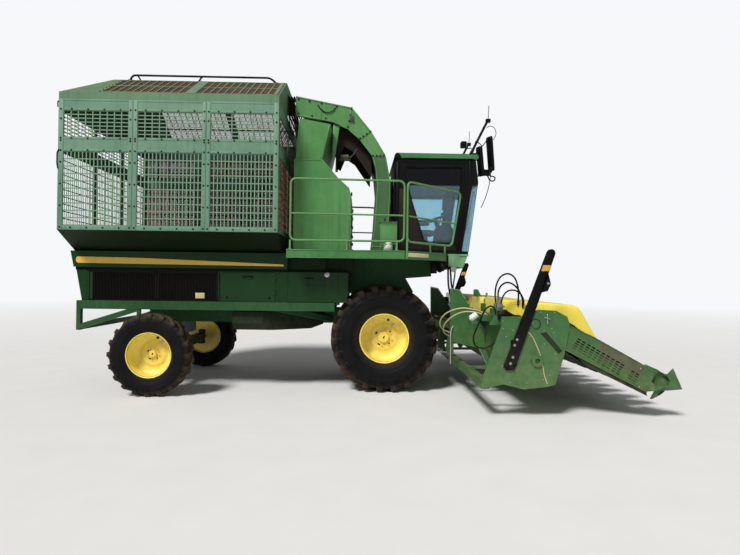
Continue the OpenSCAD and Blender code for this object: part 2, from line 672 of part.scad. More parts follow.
module basket_frame() color("#5b9c77") in_place() {
    both_sides() translate([-basket_rear, -(basket_w - basket_t) / 2, 0]) xz_plate(basket_t) basket_side_outline();
    for (x = [-basket_rear, -basket_front - basket_t])
        yz_bar(x, basket_t) translate([-end_l / 2, 0]) difference() {
            translate([0, basket_z]) square([end_l, eave_z - basket_z]);
            end_windows();
        }
}

// Square holes in a window field, with their pitch
module holes(x0, z0, w, h, nx, nz, wire) for (i = [0 : nx - 1], k = [0 : nz - 1])
    translate([x0 + i * w / nx + wire / 2, z0 + k * h / nz + wire / 2]) square([w / nx - wire, h / nz - wire]);

module basket_mesh() color("#8a6a4c") in_place() {
    both_sides() translate([-basket_rear, -basket_w / 2 + basket_t + 4, 0]) xz_plate(8) difference() {
        translate([basket_t + gap, basket_z + 20]) square([basket_l - 2 * basket_t - 2 * gap, eave_z - basket_z - 120]);
        for (i = [0 : 2], r = window_rows)
            holes(side_posts[i][0] + side_posts[i][1], r[0],
                side_posts[i + 1][0] - side_posts[i][0] - side_posts[i][1], r[1] - r[0], 6, r[1] - r[0] > 600 ? 6 : 3, 14);
    }
    for (x = [-basket_rear + basket_t, -basket_front - basket_t - 8])
        yz_bar(x, 8) translate([-end_l / 2, 0]) difference() {
            translate([30, basket_z + 20]) square([end_l - 60, eave_z - basket_z - 120]);
            for (i = [0 : 2], r = window_rows)
                holes(80 + i * (end_l - 40) / 3, r[0], (end_l - 40) / 3 - 80, r[1] - r[0], 6, r[1] - r[0] > 600 ? 6 : 3, 14);
        }
}

// Trough under the walls that slopes to the flat floor on the deck
floor_y = 1240;
low = deck_z + gap;
// Height of the sloping wall over a distance from the middle
function wall_z(y) = low + (y - floor_y) * (basket_z - low) / (basket_w / 2 - floor_y);
module hopper_bottom() color("#1d4a24") in_place() {
    // hinge ears beside the body's ears, and lugs with pins for the dump cylinders
    for (x = hinge_xs) difference() {
        yz_bar(x + 20 + gap, 40) polygon([
            [dump_hinge[0] - 60, wall_z(dump_hinge[0] - 60) + 10], dump_hinge + [-26, -18], dump_hinge + [0, -30],
            dump_hinge + [26, -18], [dump_hinge[0] + 60, wall_z(dump_hinge[0] + 60) + 10]
        ]);
        x_disc(x + 40, dump_hinge, 30 + 2 * gap, 100);
    }
    for (x = dump_xs) {
        yz_bar(x + 36, 24) polygon([
            dump_eye + [-36, -36], dump_eye + [36, -36], [dump_eye[0] + 50, low + 5], [dump_eye[0] - 50, low + 5]
        ]);
        translate([x - 34, dump_eye[0], dump_eye[1]]) rotate([0, 90, 0]) cylinder(d = pin_d, h = 71);
    }
    // floor, sloping walls and end plates
    l = basket_l - 2 * basket_t - 2 * gap;
    yz_bar(-basket_rear + basket_t + gap, l) polygon([
        [-floor_y + gap, low], [floor_y - gap, low], [floor_y - 20, low + 30], [-floor_y + 20, low + 30]
    ]);
    both_sides() yz_bar(-basket_rear + basket_t + gap, l) polygon([
        [-basket_w / 2, basket_z], [-floor_y, low], [-floor_y + 20 - gap, low + 30], [-basket_w / 2 + 40, basket_z]
    ]);
    for (x = [-basket_rear, -basket_front - basket_t])
        yz_bar(x, basket_t) polygon([
            [-basket_w / 2, basket_z - gap], [-floor_y, low], [floor_y, low], [basket_w / 2, basket_z - gap]
        ]);
}

// Hood section in the YZ plane: low eave wall, slope and flat top
eave_h = 111;
top_y = 900;
hood_t = 30;
hood_len = basket_l;
module hood_outer() polygon([
    [-basket_w / 2, eave_z], [-basket_w / 2, eave_z + eave_h], [-top_y, hood_z], [top_y, hood_z],
    [basket_w / 2, eave_z + eave_h], [basket_w / 2, eave_z]
]);
module hood_inner() polygon([
    [-basket_w / 2 + hood_t, eave_z - 1], [-basket_w / 2 + hood_t, eave_z + eave_h - 10], [-top_y, hood_z - hood_t],
    [top_y, hood_z - hood_t], [basket_w / 2 - hood_t, eave_z + eave_h - 10], [basket_w / 2 - hood_t, eave_z - 1]
]);
slope_a = atan2(hood_z - eave_z - eave_h, basket_w / 2 - top_y);
slope_l = norm([hood_z - eave_z - eave_h, basket_w / 2 - top_y]);

// Carries a child drawn on the slope: x along the machine, y up the slope, z out of it
module on_slope() translate([0, -basket_w / 2, eave_z + eave_h]) rotate([slope_a, 0, 0]) children();
screen_x = [-4700, -basket_front - 60];

// Rise and run of the sloping rear hip
hip = [540, 470];
// Body of the hood behind its sloping rear hip, its section set in by t
module hood_block(t) intersection() {
    yz_bar(-basket_rear + t, hood_len - 2 * t) if (t > 0) hood_inner(); else hood_outer();
    hip_prism(t);
}
// Outline along the machine with the sloping rear end set in by t
module hip_prism(t) {
    shift = t * norm(hip) / hip[0];
    foot = -basket_rear + shift;
    seam = eave_z + eave_h;
    xz_plate(2 * basket_w) polygon([
        [-basket_rear + t, eave_z - 20], [-basket_rear + t, seam - (shift - t) * hip[0] / hip[1]],
        [foot + 2 * hip[1], seam + 2 * hip[0]], [-basket_front, seam + 2 * hip[0]], [-basket_front, eave_z - 20]
    ]);
}
module basket_hood() color("#4e9a63") in_place() difference() {
    hood_block(0);
    hood_block(hood_t);
    // joints between eave strip, ends, slopes, top and hip
    joint_z(eave_z + eave_h);
    both_sides() intersection() {
        joint_y(-basket_w / 2 + hood_t + 20);
        translate([-7000, -3000, 0]) cube([7000, 6000, eave_z + eave_h]);
    }
    intersection() {
        union() {
            joint_y(-top_y);
            joint_y(top_y);
            joint_x(-basket_front - hood_t);
            translate([-basket_rear, 0, eave_z + eave_h]) rotate([0, atan2(hip[1], hip[0]), 0])
                translate([hood_t, -4000, -60]) cube([gap, 8000, 1400]);
        }
        translate([-7000, -3000, eave_z + eave_h]) cube([7000, 6000, 1000]);
    }
    // screen opening of the right slope and lid opening of the left slope
    both_sides() on_slope() translate([screen_x[0], 40, -80]) cube([screen_x[1] - screen_x[0], slope_l - 80, 200]);
    // mouth towards the duct hood
    translate([-basket_front - 60, -800, 4900]) cube([100, 1600, 450]);
}

// Slats on the sloping opening, with top, middle and bottom rails
module slats() {
    w = screen_x[1] - screen_x[0];
    translate([screen_x[0] + gap, 40 + gap, -16]) {
        for (y = [0, slope_l / 2 - 60, slope_l - 120]) translate([0, y, 0]) cube([w - 2 * gap, 36, 16]);
        for (k = [0 : 27]) translate([k * (w - 22) / 27, 0, 2]) cube([20, slope_l - 84, 10]);
    }
}
module hood_screen() color("#7d5b41") in_place() on_slope() slats();
// Hinge line of the lid as [x, z] on the slope
lid_axis = [slope_l - 26, 12 + gap];
module basket_lid() color("#7d5b41") in_place() mirror([0, 1, 0]) on_slope() {
    slats();
    for (x = [-4500, -3300, -2100]) translate([x, 0, 0]) {
        translate([0, slope_l - 100, -2]) cube([60, 56, 8]);
        translate([0, slope_l - 50, gap]) cube([60, 24, 6 - gap]);
        translate([0, lid_axis[0], lid_axis[1]]) rotate([0, 90, 0]) cylinder(d = 24, h = 60);
    }
}

module roof_rail() color("#1a1a1a") in_place() {
    y = -top_y + 40;
    rod([-4560, y, 5590], [-2100, y, 5590], 36);
    for (x = [-4560, -3330, -2110]) {
        rod([x, y, 5590], [x + 90, y, hood_z + 12], 30);
        translate([x + 50, y - 30, hood_z]) cube([80, 60, 12]);
    }
}

module yz_rod(x, a, b, d) rod([x, a[0], a[1]], [x, b[0], b[1]], d);
function toward(a, b, s) = a + (b - a) * s / norm(b - a);

// Disc and ring with their axis on X about a [y, z] point
module x_disc(x, at, d, w) translate([x - w / 2, at[0], at[1]]) rotate([0, 90, 0]) cylinder(d = d, h = w);
module x_ring(x, at, d, bore, w) difference() {
    x_disc(x, at, d, w);
    x_disc(x, at, bore, w + 2);
}

dump_body = norm(dump_eye - dump_base) - 120;
dump_rod_d = 56;
module dump_barrels() color("#2a2a2a") in_place() for (x = dump_xs) {
    difference() {
        yz_rod(x, toward(dump_base, dump_eye, 40), toward(dump_base, dump_eye, dump_body), dump_d);
        yz_rod(x, toward(dump_base, dump_eye, 70), toward(dump_base, dump_eye, dump_body + 1), dump_rod_d + 2 * gap);
        x_disc(x, dump_base, pin_d + 40, 200);
    }
    x_ring(x, dump_base, pin_d + 50, pin_d + 2 * gap, 70);
}
module dump_rods() color("#b8bcc0") in_place() for (x = dump_xs) {
    yz_rod(x, toward(dump_base, dump_eye, 85), toward(dump_eye, dump_base, pin_d / 2 + dump_free + 8), dump_rod_d);
    x_ring(x, dump_eye, pin_d + 2 * dump_free + 40, pin_d + 2 * dump_free, 60);
}

// Header side profile between the lower and the upper edge of a row unit
low_a = [2329, 1088];
low_b = [3675, 411];
auger_at = [2086, 839];
auger_pin = 70;
module row_profile() polygon([low_a, low_b, [3700, 520], [3600, 805], [2911, 1179], [2554, 1340], [2400, 1250]]);

// Carries a child drawn along the row slope: x down the row, z out of its floor
module on_row() translate([low_a[0], 0, low_a[1]]) rotate([0, row_slope, 0]) children();

// Section of the auger trough as outer and inner points
trough_out = [[1760, 1330], [1740, 800], [1860, 560], [2086, 500], [2300, 560], [2400, 800], [2400, 980]];
trough_in = [[1790, 1330], [1772, 805], [1885, 590], [2086, 535], [2276, 590], [2370, 812], [2370, 980]];
mouth_w = 760;
function step_to(a, b, s) = a + (b - a) * s / norm(b - a);
module trough_facet(i) polygon([
    trough_out[i], step_to(trough_out[i + 1], trough_out[i], gap), step_to(trough_in[i + 1], trough_in[i], gap), trough_in[i]
]);

module header_frame() color("#2f8a3d") in_place() {
    half = header_half - gap;
    // main tube, tube between the arms and lower tube
    translate([1573, -half, 1330 + gap]) cube([200, 2 * half, 130 - gap]);
    translate([1200, -1285 + gap, 1090]) cube([120, 2570 - 2 * gap, 130]);
    translate([1300, -half, 430]) cube([120, 2 * half, 120]);
    both_sides() {
        // arm to the pivot
        difference() {
            translate([0, -arm_y, 0]) xz_plate(56) polygon([
                [pivot_x - 80, pivot_z - 60], [pivot_x - 60, pivot_z + 75], [pivot_x + 60, pivot_z + 80],
                [1200 - gap, 1212], [1200 - gap, 1095]
            ]);
            translate([pivot_x, -arm_y, pivot_z]) y_cyl(pivot_d + 2 * gap, -50, 50);
        }
        // lift plate behind the trough
        translate([0, -1320, 0]) xz_plate(70) difference() {
            polygon([
                [1142, 913], [1131, 1820], [1279, 1793], [1488, 1473], [trough_out[1][0] - gap - 5, 1063],
                [trough_out[1][0] - gap, 800], [1857, 558], [1795, 480], [1643, 800]
            ]);
            translate([1573 - gap, 1330]) square([200, 140]);
        }
        // bracket with the pin of the lift cylinder
        translate([0, -arm_y + 60, 0]) xz_plate(30) polygon([
            [lift_eye[0] - 45, lift_eye[1] - 50], [lift_eye[0] - 45, lift_eye[1] + 50], [1250, 1090 - gap],
            [1320, 1090 - gap], [1340, 550 + gap], [1300, 550 + gap]
        ]);
        translate([lift_eye[0], 0, lift_eye[1]]) y_cyl(pin_d, -arm_y - 35, -arm_y + 60);
        // end plate round the cross auger, with its bearing
        difference() {
            union() {
                translate([0, -header_half - 10, 0]) xz_plate(20) polygon([
                    [1573, 1460], [1903, 1470], [2097, 1565], [2353, 1553], [2510, 1471], [2554, 1340],
                    [2480, 940], [2354, 502], [2239, 470], [1900, 430], [1612, 500], [1300, 430], [1300, 560],
                    [1573, 1330]
                ]);
                translate([auger_at[0], 0, auger_at[1]]) y_cyl(170, -header_half - 50, -header_half);
                translate([2053, 0, 1363]) y_cyl(118, -header_half - 45, -header_half);
            }
            translate([auger_at[0], 0, auger_at[1]]) y_cyl(auger_pin + 2 * gap, -header_half - 60, -header_half + 10);
        }
    }
    // auger trough, open towards the lower duct
    for (i = [0 : 5]) {
        if (i > 1) xz_plate(2 * half) trough_facet(i);
        else {
            both_sides() translate([0, -(half + mouth_w / 2 + gap) / 2, 0]) xz_plate(half - mouth_w / 2 - gap)
                trough_facet(i);
            difference() {
                xz_plate(mouth_w) trough_facet(i);
                translate([1700, -mouth_w, 640]) cube([200, 2 * mouth_w, 560]);
            }
        }
    }
    // beam that carries the row units
    on_row() translate([50, -half, -110 - gap]) cube([110, 2 * half, 110]);
    // struts from the lower tube to the trough
    for (y = [-2500, -1320, 1320, 2500]) translate([1420 + gap, y - 30, 450]) cube([2090 - 1420, 60, 50 - gap]);
}

module cross_auger() color("#7a5a3c") in_place() translate([auger_at[0], 0, auger_at[1]]) {
    y_cyl(120, -header_half + 2, header_half - 2);
    both_sides() {
        y_cyl(auger_pin, -header_half - 45, -header_half + 2);
        for (k = [0 : 6]) translate([0, -header_half + 260 + k * 380, 0]) y_cyl(auger_d, 0, 10);
    }
    for (a = [0 : 60 : 300]) rotate([0, a, 0]) translate([0, -260, -20]) cube([auger_d / 2 - 20, 520, 12]);
}

// One side of a row unit: floor and outer plate with slots, low inner wall, pointed nose
unit_in = 130;
unit_out = 400;
edge_out = header_half - gap - (rows - 1) / 2 * row_pitch;
sheet_t = 12;
module unit_side(out, edge) {
    translate([0, out - sheet_t / 2, 0]) xz_plate(sheet_t) difference() {
        row_profile();
        for (k = [0 : 9], r = [0 : 2])
            translate(low_a + [320 + k * 84, 70 - k * 42.3 + r * 75]) rotate(-row_slope) square([60, 24]);
    }
    on_row() translate([0, unit_in, 0]) {
        translate([0, sheet_t + gap, 0]) cube([1500, out - unit_in - 2 * sheet_t - 2 * gap, sheet_t]);
        cube([1500, sheet_t, 130]);
    }
    // nose with its tip in the middle, or at the outer plate of an edge unit
    tip = edge ? out - 20 : (unit_in + out) / 2;
    difference() {
        intersection() {
            translate([0, (unit_in + out) / 2, 0]) xz_plate(out - unit_in) polygon([
                [3601, 805], [3809, 733], [3968, 650], [4078, 640], [nose_x, 447], [4007, 430],
                [3812, 420], [3676 + gap, 411], [3701, 520]
            ]);
            linear_extrude(1000) polygon([
                [3600, unit_in + sheet_t + gap], [3680, unit_in + sheet_t + gap], [3680, unit_in], [3700, unit_in],
                [nose_x - 20, tip - 25], [nose_x, tip], [nose_x, edge ? out : tip],
                [nose_x - 20, edge ? out : tip + 25], [3700, out], [3600, out]
            ]);
        }
        if (edge) translate([0, out, 0]) xz_plate(120)
            polygon([[3845, 700], [3960, 636], [4030, 620], [3990, 500], [3811, 480], [3740, 560]]);
    }
    if (edge) {
        translate([0, out - 5, 0]) xz_plate(10) polygon([[3990, 600], [3968, 650], [4053, 748], [4078, 675], [4150, 520], [4020, 560]]);
        translate([0, out - 40, 0]) xz_plate(14) polygon([[3745, 299], [3768, 299], [3886, 360], [3958, 424], [3900, 440], [3812, 430]]);
    }
}
module row_units() color("#2f8a3d") in_place() for (i = [0 : rows - 1]) translate([0, row_ys[i], 0]) {
    unit_side(i == rows - 1 ? edge_out : unit_out, i == rows - 1);
    mirror([0, 1, 0]) unit_side(i == 0 ? edge_out : unit_out, i == 0);
}

// Pair of rolls per row with the gear block that drives them
module stripper_rolls() color("#4a4a46") in_place() for (y = row_ys) translate([0, y, 0]) {
    on_row() translate([40, -roll_d - 6, 0]) cube([60, 2 * roll_d + 12, roll_d + 44]);
    both_sides() on_row() translate([99, -roll_d / 2 - 4, 90]) rotate([0, 90, 0]) cylinder(d = roll_d, h = 1300);
}

module row_hoods() color("#e5c21e") in_place() for (i = [0 : rows - 2])
    translate([0, (i - (rows - 2) / 2) * row_pitch, 0]) difference() {
        xz_plate(2 * (row_pitch / 2 - unit_in - 20)) polygon([
            [1644, 1460], [1644, 1689], [2764, 1618], [2920, 1596], [2999, 1520], [3237, 1113], [3200, 1113],
            [2600, 1440], [1773, 1460]
        ]);
        xz_plate(2 * (row_pitch / 2 - unit_in - 40)) polygon([
            [1664, 1400], [1664, 1668], [2764, 1598], [2906, 1578], [2980, 1508], [3210, 1100], [3100, 1000]
        ]);
        both_sides() joint_y(-row_pitch / 2 + unit_in + 40);
    }

module marker_arms() color("#1c1c1c") in_place() both_sides() translate([0, -header_half - 40, 0]) {
    xz_plate(40) polygon([
        [1640, 690], [1757, 702], [2332, 2379], [2325, 2405], [2304, 2424], [2270, 2430], [2232, 2422], [2210, 2400],
        [1600, 749], [1610, 710]
    ]);
    // stop plate with the bracket bolts
    translate([0, 30 - 10, 0]) xz_plate(12) polygon([[2150, 2040], [2214, 2077], [2252, 1933], [2216, 1836], [2120, 1811]]);
}

// Ring with its axis on Y about an [x, z] point, its middle at y = 0
module y_ring(at, d, bore, w) translate([at[0], 0, at[1]]) difference() {
    y_cyl(d, -w / 2, w / 2);
    y_cyl(bore, -w, w);
}
module xz_rod(a, b, d) rod([a[0], 0, a[1]], [b[0], 0, b[1]], d);

lift_body = 560;
lift_rod_d = 45;
module lift_barrels() color("#2a2a2a") in_place() both_sides() translate([0, -arm_y, 0]) {
    difference() {
        xz_rod(toward(lift_base, lift_eye, 30), toward(lift_base, lift_eye, lift_body), lift_d);
        xz_rod(toward(lift_base, lift_eye, 100), toward(lift_base, lift_eye, lift_body + 1), lift_rod_d + 2 * gap);
        translate([lift_base[0], 0, lift_base[1]]) y_cyl(pin_d + 40, -100, 100);
    }
    y_ring(lift_base, pin_d + 50, pin_d + 2 * gap, 60);
}
module lift_rods() color("#b8bcc0") in_place() both_sides() translate([0, -arm_y, 0]) {
    xz_rod(toward(lift_base, lift_eye, 180), toward(lift_eye, lift_base, pin_d / 2 + lift_free + 10), lift_rod_d);
    y_ring(lift_eye, pin_d + 2 * lift_free + 40, pin_d + 2 * lift_free, 56);
}

main_frame();
front_axle();
rear_axle();
knuckle_right();
knuckle_left();
tie_rod();
front_rim_right();
front_rim_left();
front_tyre_right();
front_tyre_left();
rear_rim_right();
rear_rim_left();
rear_tyre_right();
rear_tyre_left();
body_shell();
air_screens();
service_door_right();
service_door_left();
engine();
fuel_tanks();
platform();
handrails();
ladder();
cab_frame();
cab_roof();
cab_glass();
cab_door();
cab_door_glass();
cab_skirt();
seat();
steering_column();
mirrors();
lamps();
lower_duct();
upright_duct();
duct_hood();
cleaner_box();
basket_frame();
basket_mesh();
hopper_bottom();
basket_hood();
hood_screen();
basket_lid();
roof_rail();
dump_barrels();
dump_rods();
header_frame();
cross_auger();
row_units();
stripper_rolls();
row_hoods();
marker_arms();
lift_barrels();
lift_rods();
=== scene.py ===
import json
import bmesh
import bpy
from math import copysign, cos, dist, pi, radians, sin, sqrt
from mathutils import Matrix, Vector

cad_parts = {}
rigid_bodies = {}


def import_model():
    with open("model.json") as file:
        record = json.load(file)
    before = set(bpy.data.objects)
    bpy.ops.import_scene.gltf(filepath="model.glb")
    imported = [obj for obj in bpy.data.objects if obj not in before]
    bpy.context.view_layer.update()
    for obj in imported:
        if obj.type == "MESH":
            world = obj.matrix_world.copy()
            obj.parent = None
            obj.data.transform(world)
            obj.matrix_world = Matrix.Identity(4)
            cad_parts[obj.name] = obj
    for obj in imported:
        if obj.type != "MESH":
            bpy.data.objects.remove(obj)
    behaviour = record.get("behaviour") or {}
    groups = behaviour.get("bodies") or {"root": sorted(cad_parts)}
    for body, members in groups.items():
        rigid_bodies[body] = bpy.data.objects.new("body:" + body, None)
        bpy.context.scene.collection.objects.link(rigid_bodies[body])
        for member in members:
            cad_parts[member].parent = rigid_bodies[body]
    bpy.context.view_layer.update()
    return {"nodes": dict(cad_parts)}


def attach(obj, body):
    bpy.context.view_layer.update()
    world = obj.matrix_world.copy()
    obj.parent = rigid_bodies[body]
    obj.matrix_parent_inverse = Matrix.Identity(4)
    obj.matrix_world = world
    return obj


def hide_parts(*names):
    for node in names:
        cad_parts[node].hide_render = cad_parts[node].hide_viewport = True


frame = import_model()
nodes = frame["nodes"]
print("frame: loaded", len(nodes), "nodes")

frontAxle = 0.595  # the front axle lies this far ahead of the middle of the machine, metres


def at(x, y, z):  # millimetres, x from the front axle
    return Vector((x / 1000 + frontAxle, y / 1000, z / 1000))


def rgb(r, g, b):  # a colour as a paint card gives it, made linear
    return tuple((c / 255 / 12.92) if c / 255 <= 0.04045 else ((c / 255 + 0.055) / 1.055) ** 2.4 for c in (r, g,
        b)) + (1,)


# ---- camera, lamps and floor
view = {"place": (0.12785, -10.93107, 1.94699), "yaw": 0.02106, "pitch": 0.00574, "roll": 0.01264, "lens": 27.05}


def setCamera():
    yaw, pitch, roll = view["yaw"], view["pitch"], view["roll"]
    forward = Vector((sin(yaw) * cos(pitch), cos(yaw) * cos(pitch), sin(pitch)))
    level = Vector((cos(yaw), -sin(yaw), 0))
    upright = level.cross(forward)
    across = level * cos(roll) + upright * sin(roll)
    upright = upright * cos(roll) - level * sin(roll)
    data = bpy.data.cameras.new("camera")
    data.lens = view["lens"]
    data.sensor_width = 36
    data.clip_end = 400
    camera = bpy.data.objects.new("camera", data)
    turn = Matrix((across, upright, -forward)).transposed()
    camera.matrix_world = Matrix.Translation(view["place"]) @ turn.to_4x4()
    bpy.context.scene.collection.objects.link(camera)
    bpy.context.scene.camera = camera


setCamera()
light = {
    "sun": 3.3, "sunFrom": (-0.42, -0.62, 0.80), "sunSoft": 14,
    "fill": 90, "fillPlace": (6, -14, 7), "fillSize": 9, "world": 0.24,
}


def setLight():
    sun = bpy.data.lights.new("sun", "SUN")
    sun.energy = light["sun"]
    sun.angle = radians(light["sunSoft"])
    lamp = bpy.data.objects.new("sun", sun)
    lamp.rotation_euler = Vector(light["sunFrom"]).to_track_quat("Z", "Y").to_euler()
    bpy.context.scene.collection.objects.link(lamp)
    panel = bpy.data.lights.new("fill", "AREA")
    panel.energy = light["fill"]
    panel.size = light["fillSize"]
    lamp = bpy.data.objects.new("fill", panel)
    lamp.location = light["fillPlace"]
    lamp.rotation_euler = (Vector(light["fillPlace"]) - Vector((0, 0, 1.5))).to_track_quat("Z", "Y").to_euler()
    bpy.context.scene.collection.objects.link(lamp)
    world = bpy.data.worlds.new("studio")
    bpy.context.scene.world = world
    world.use_nodes = True
    tree = world.node_tree
    tree.nodes.clear()
    seen = put(tree, "LightPath", {})
    bright = mathNode(tree, "MAXIMUM", seen.outputs["Is Camera Ray"], seen.outputs["Is Transmission Ray"])
    strength = put(tree, "MapRange", {"Value": bright, "To Min": light["world"], "To Max": 1.0})
    back = put(tree, "Background", {"Color": rgb(246, 248, 250), "Strength": strength.outputs[0]})
    put(tree, "OutputWorld", {"Surface": back.outputs[0]})
    bpy.context.scene.view_settings.view_transform = "Standard"


def setFloor():
    bm = bmesh.new()
    bmesh.ops.create_grid(bm, x_segments=1, y_segments=1, size=150)
    mesh = bpy.data.meshes.new("floor")
    bm.to_mesh(mesh)
    bm.free()
    floor = bpy.data.objects.new("floor", mesh)
    bpy.context.scene.collection.objects.link(floor)
    mat = bpy.data.materials.new("floorPale")
    mat.use_nodes = True
    tree = mat.node_tree
    tree.nodes.clear()
    coords = put(tree, "TexCoord", {}).outputs["Object"]
    speckle = put(tree, "TexNoise", {"Vector": coords, "Scale": 1.6, "Detail": 5})
    tone = mixColor(tree, speckle.outputs[0], rgb(226, 224, 220), rgb(234, 232, 229))
    matt = put(tree, "BsdfPrincipled", {"Base Color": tone, "Roughness": 0.9})
    glow = put(tree, "Emission", {"Color": rgb(246, 248, 250), "Strength": 1.0})
    far = put(tree, "VectorMath", {0: coords}, operation="LENGTH")
    fade = put(tree, "MapRange", {"Value": far.outputs["Value"], "From Min": 9.0, "From Max": 45.0})
    blend = put(tree, "MixShader", {0: fade.outputs[0], 1: matt.outputs[0], 2: glow.outputs[0]})
    put(tree, "OutputMaterial", {"Surface": blend.outputs[0]})
    mesh.materials.append(mat)


# ---- small tools for node trees
# a node with its settings, and its inputs linked or set; a shader node if not said
def put(tree, kind, feeds, **settings):
    made = tree.nodes.new(kind if kind.startswith(("Geometry", "Function")) else "ShaderNode" + kind)
    for key, value in settings.items():
        setattr(made, key, value)
    for key, value in feeds.items():
        if isinstance(value, bpy.types.NodeSocket):
            tree.links.new(value, made.inputs[key])
        else:
            made.inputs[key].default_value = value
    return made


def mathNode(tree, operation, a, b=0.5, clamp=False):
    return put(tree, "Math", {0: a, 1: b}, operation=operation, use_clamp=clamp).outputs[0]


def times(tree, a, b, clamp=False):
    return mathNode(tree, "MULTIPLY", a, b, clamp)


def plus(tree, a, b, clamp=False):
    return mathNode(tree, "ADD", a, b, clamp)


def minus(tree, a, b):
    return mathNode(tree, "SUBTRACT", a, b)


def noiseOf(tree, where, scale, detail, rough=0.5):
    return put(tree, "TexNoise", {"Vector": where, "Scale": scale, "Detail": detail, "Roughness": rough}).outputs[0]


def apart(tree, where, axis):  # one of the three measures of a place or a facing
    return put(tree, "SeparateXYZ", {0: where}).outputs[axis]


def mixColor(tree, share, a, b, kind="MIX"):
    return put(tree, "Mix", {0: share, 6: a, 7: b}, data_type="RGBA", blend_type=kind).outputs[2]


def ramp(tree, value, low, high, top=1.0):
    return put(tree, "MapRange", {"Value": value, "From Min": low, "From Max": high, "To Max": top}).outputs[0]


def newTree(name, inputs, outputs, kind="ShaderNodeTree"):
    tree = bpy.data.node_groups.new(name, kind)
    for label, *rest in inputs:  # a bare number is a plain value
        sort, value = rest if len(rest) > 1 else ("Float", rest[0])
        socket = tree.interface.new_socket(label, in_out="INPUT", socket_type="NodeSocket" + sort)
        if value is not None:
            socket.default_value = value
    for label, sort in outputs:
        tree.interface.new_socket(label, in_out="OUTPUT", socket_type="NodeSocket" + sort)
    return tree, tree.nodes.new("NodeGroupInput").outputs, tree.nodes.new("NodeGroupOutput").inputs


# ---- shared effects of the finishes
def makeWeather():  # sun-bleached paint with streaks, dust and rust chips
    tree, given, out = newTree("weather", [
        ("Vector", "Vector", None), ("Paint", "Color", (0, 0.2, 0, 1)),
        ("Faded", "Color", (0.2, 0.4, 0.2, 1)), ("Dust Color", "Color", (0.4, 0.3, 0.2, 1)),
        ("Rust Color", "Color", (0.1, 0.04, 0.02, 1)), ("Fade", 0.5),
        ("Streaks", 0.3), ("Dust", 0.3), ("Rust", 0.1),
        ("Gloss", 0.4), ("Edge", 0.0),
    ], [("Color", "Color"), ("Roughness", "Float"), ("Height", "Float")])
    where = given["Vector"]
    broad = noiseOf(tree, where, 1.1, 6, 0.62)
    cloud = noiseOf(tree, where, 6.5, 5, 0.7)
    fine = noiseOf(tree, where, 60, 3)
    fade = times(tree, ramp(tree, plus(tree, broad, times(tree, cloud, 0.6)), 0.55, 1.05), given["Fade"], True)
    color = mixColor(tree, fade, given["Paint"], given["Faded"])
    tall = put(tree, "VectorMath", {0: where, 1: (17, 17, 0.75)}, operation="MULTIPLY").outputs[0]
    run = noiseOf(tree, tall, 1.0, 5, 0.6)
    lightRun = times(tree, ramp(tree, run, 0.52, 0.76), given["Streaks"])
    color = mixColor(tree, lightRun, color, given["Faded"])
    darkRun = times(tree, ramp(tree, run, 0.46, 0.22), times(tree, given["Streaks"], 0.75))
    color = mixColor(tree, darkRun, color, (0.012, 0.02, 0.012, 1))
    # dust lies low on the machine and on faces that look up
    facing = apart(tree, put(tree, "NewGeometry", {}).outputs["Normal"], 2)
    height = apart(tree, where, 2)
    settled = mathNode(tree, "MAXIMUM", ramp(tree, facing, 0.35, 0.95), ramp(tree, height, 1.5, 0.15, 0.75))
    grime = times(tree, settled, ramp(tree, plus(tree, cloud, times(tree, fine, 0.25)), 0.42, 0.85))
    grime = times(tree, grime, given["Dust"], True)
    color = mixColor(tree, grime, color, given["Dust Color"])
    chipA = noiseOf(tree, where, 9, 8, 0.72)
    spots = plus(tree, times(tree, chipA, 0.75), times(tree, broad, 0.25))
    level = minus(tree, 0.80, times(tree, given["Rust"], 0.42))
    level = minus(tree, level, times(tree, given["Edge"], 0.16))
    rust = ramp(tree, minus(tree, spots, level), 0.0, 0.035)
    rustTone = mixColor(tree, ramp(tree, fine, 0.3, 0.7), given["Rust Color"], (0.30, 0.12, 0.045, 1))
    color = mixColor(tree, rust, color, rustTone)
    worn = times(tree, given["Edge"], ramp(tree, cloud, 0.35, 0.65, 0.55))
    color = mixColor(tree, worn, color, given["Faded"])
    rough = plus(tree, given["Gloss"], times(tree, fade, 0.16))
    rough = plus(tree, rough, times(tree, mathNode(tree, "MAXIMUM", grime, rust), 0.32), True)
    bump = minus(tree, times(tree, fine, 0.25), times(tree, rust, 0.6))
    tree.links.new(color, out["Color"])
    tree.links.new(rough, out["Roughness"])
    tree.links.new(bump, out["Height"])
    return tree


def makeRoundMask():  # 0 inside one radius, 1 outside another, about an axis along Y
    tree, given, out = newTree("roundMask", [
        ("Vector", "Vector", None), ("Centre X", 0), ("Centre Z", 0),
        ("From", 0), ("To", 1),
    ], [("Mask", "Float")])
    parts = put(tree, "SeparateXYZ", {0: given["Vector"]}).outputs
    dx = minus(tree, parts[0], given["Centre X"])
    dz = minus(tree, parts[2], given["Centre Z"])
    far = mathNode(tree, "SQRT", plus(tree, times(tree, dx, dx), times(tree, dz, dz)))
    mask = put(tree, "MapRange", {"Value": far, "From Min": given["From"], "From Max": given["To"]}).outputs[0]
    tree.links.new(mask, out["Mask"])
    return tree


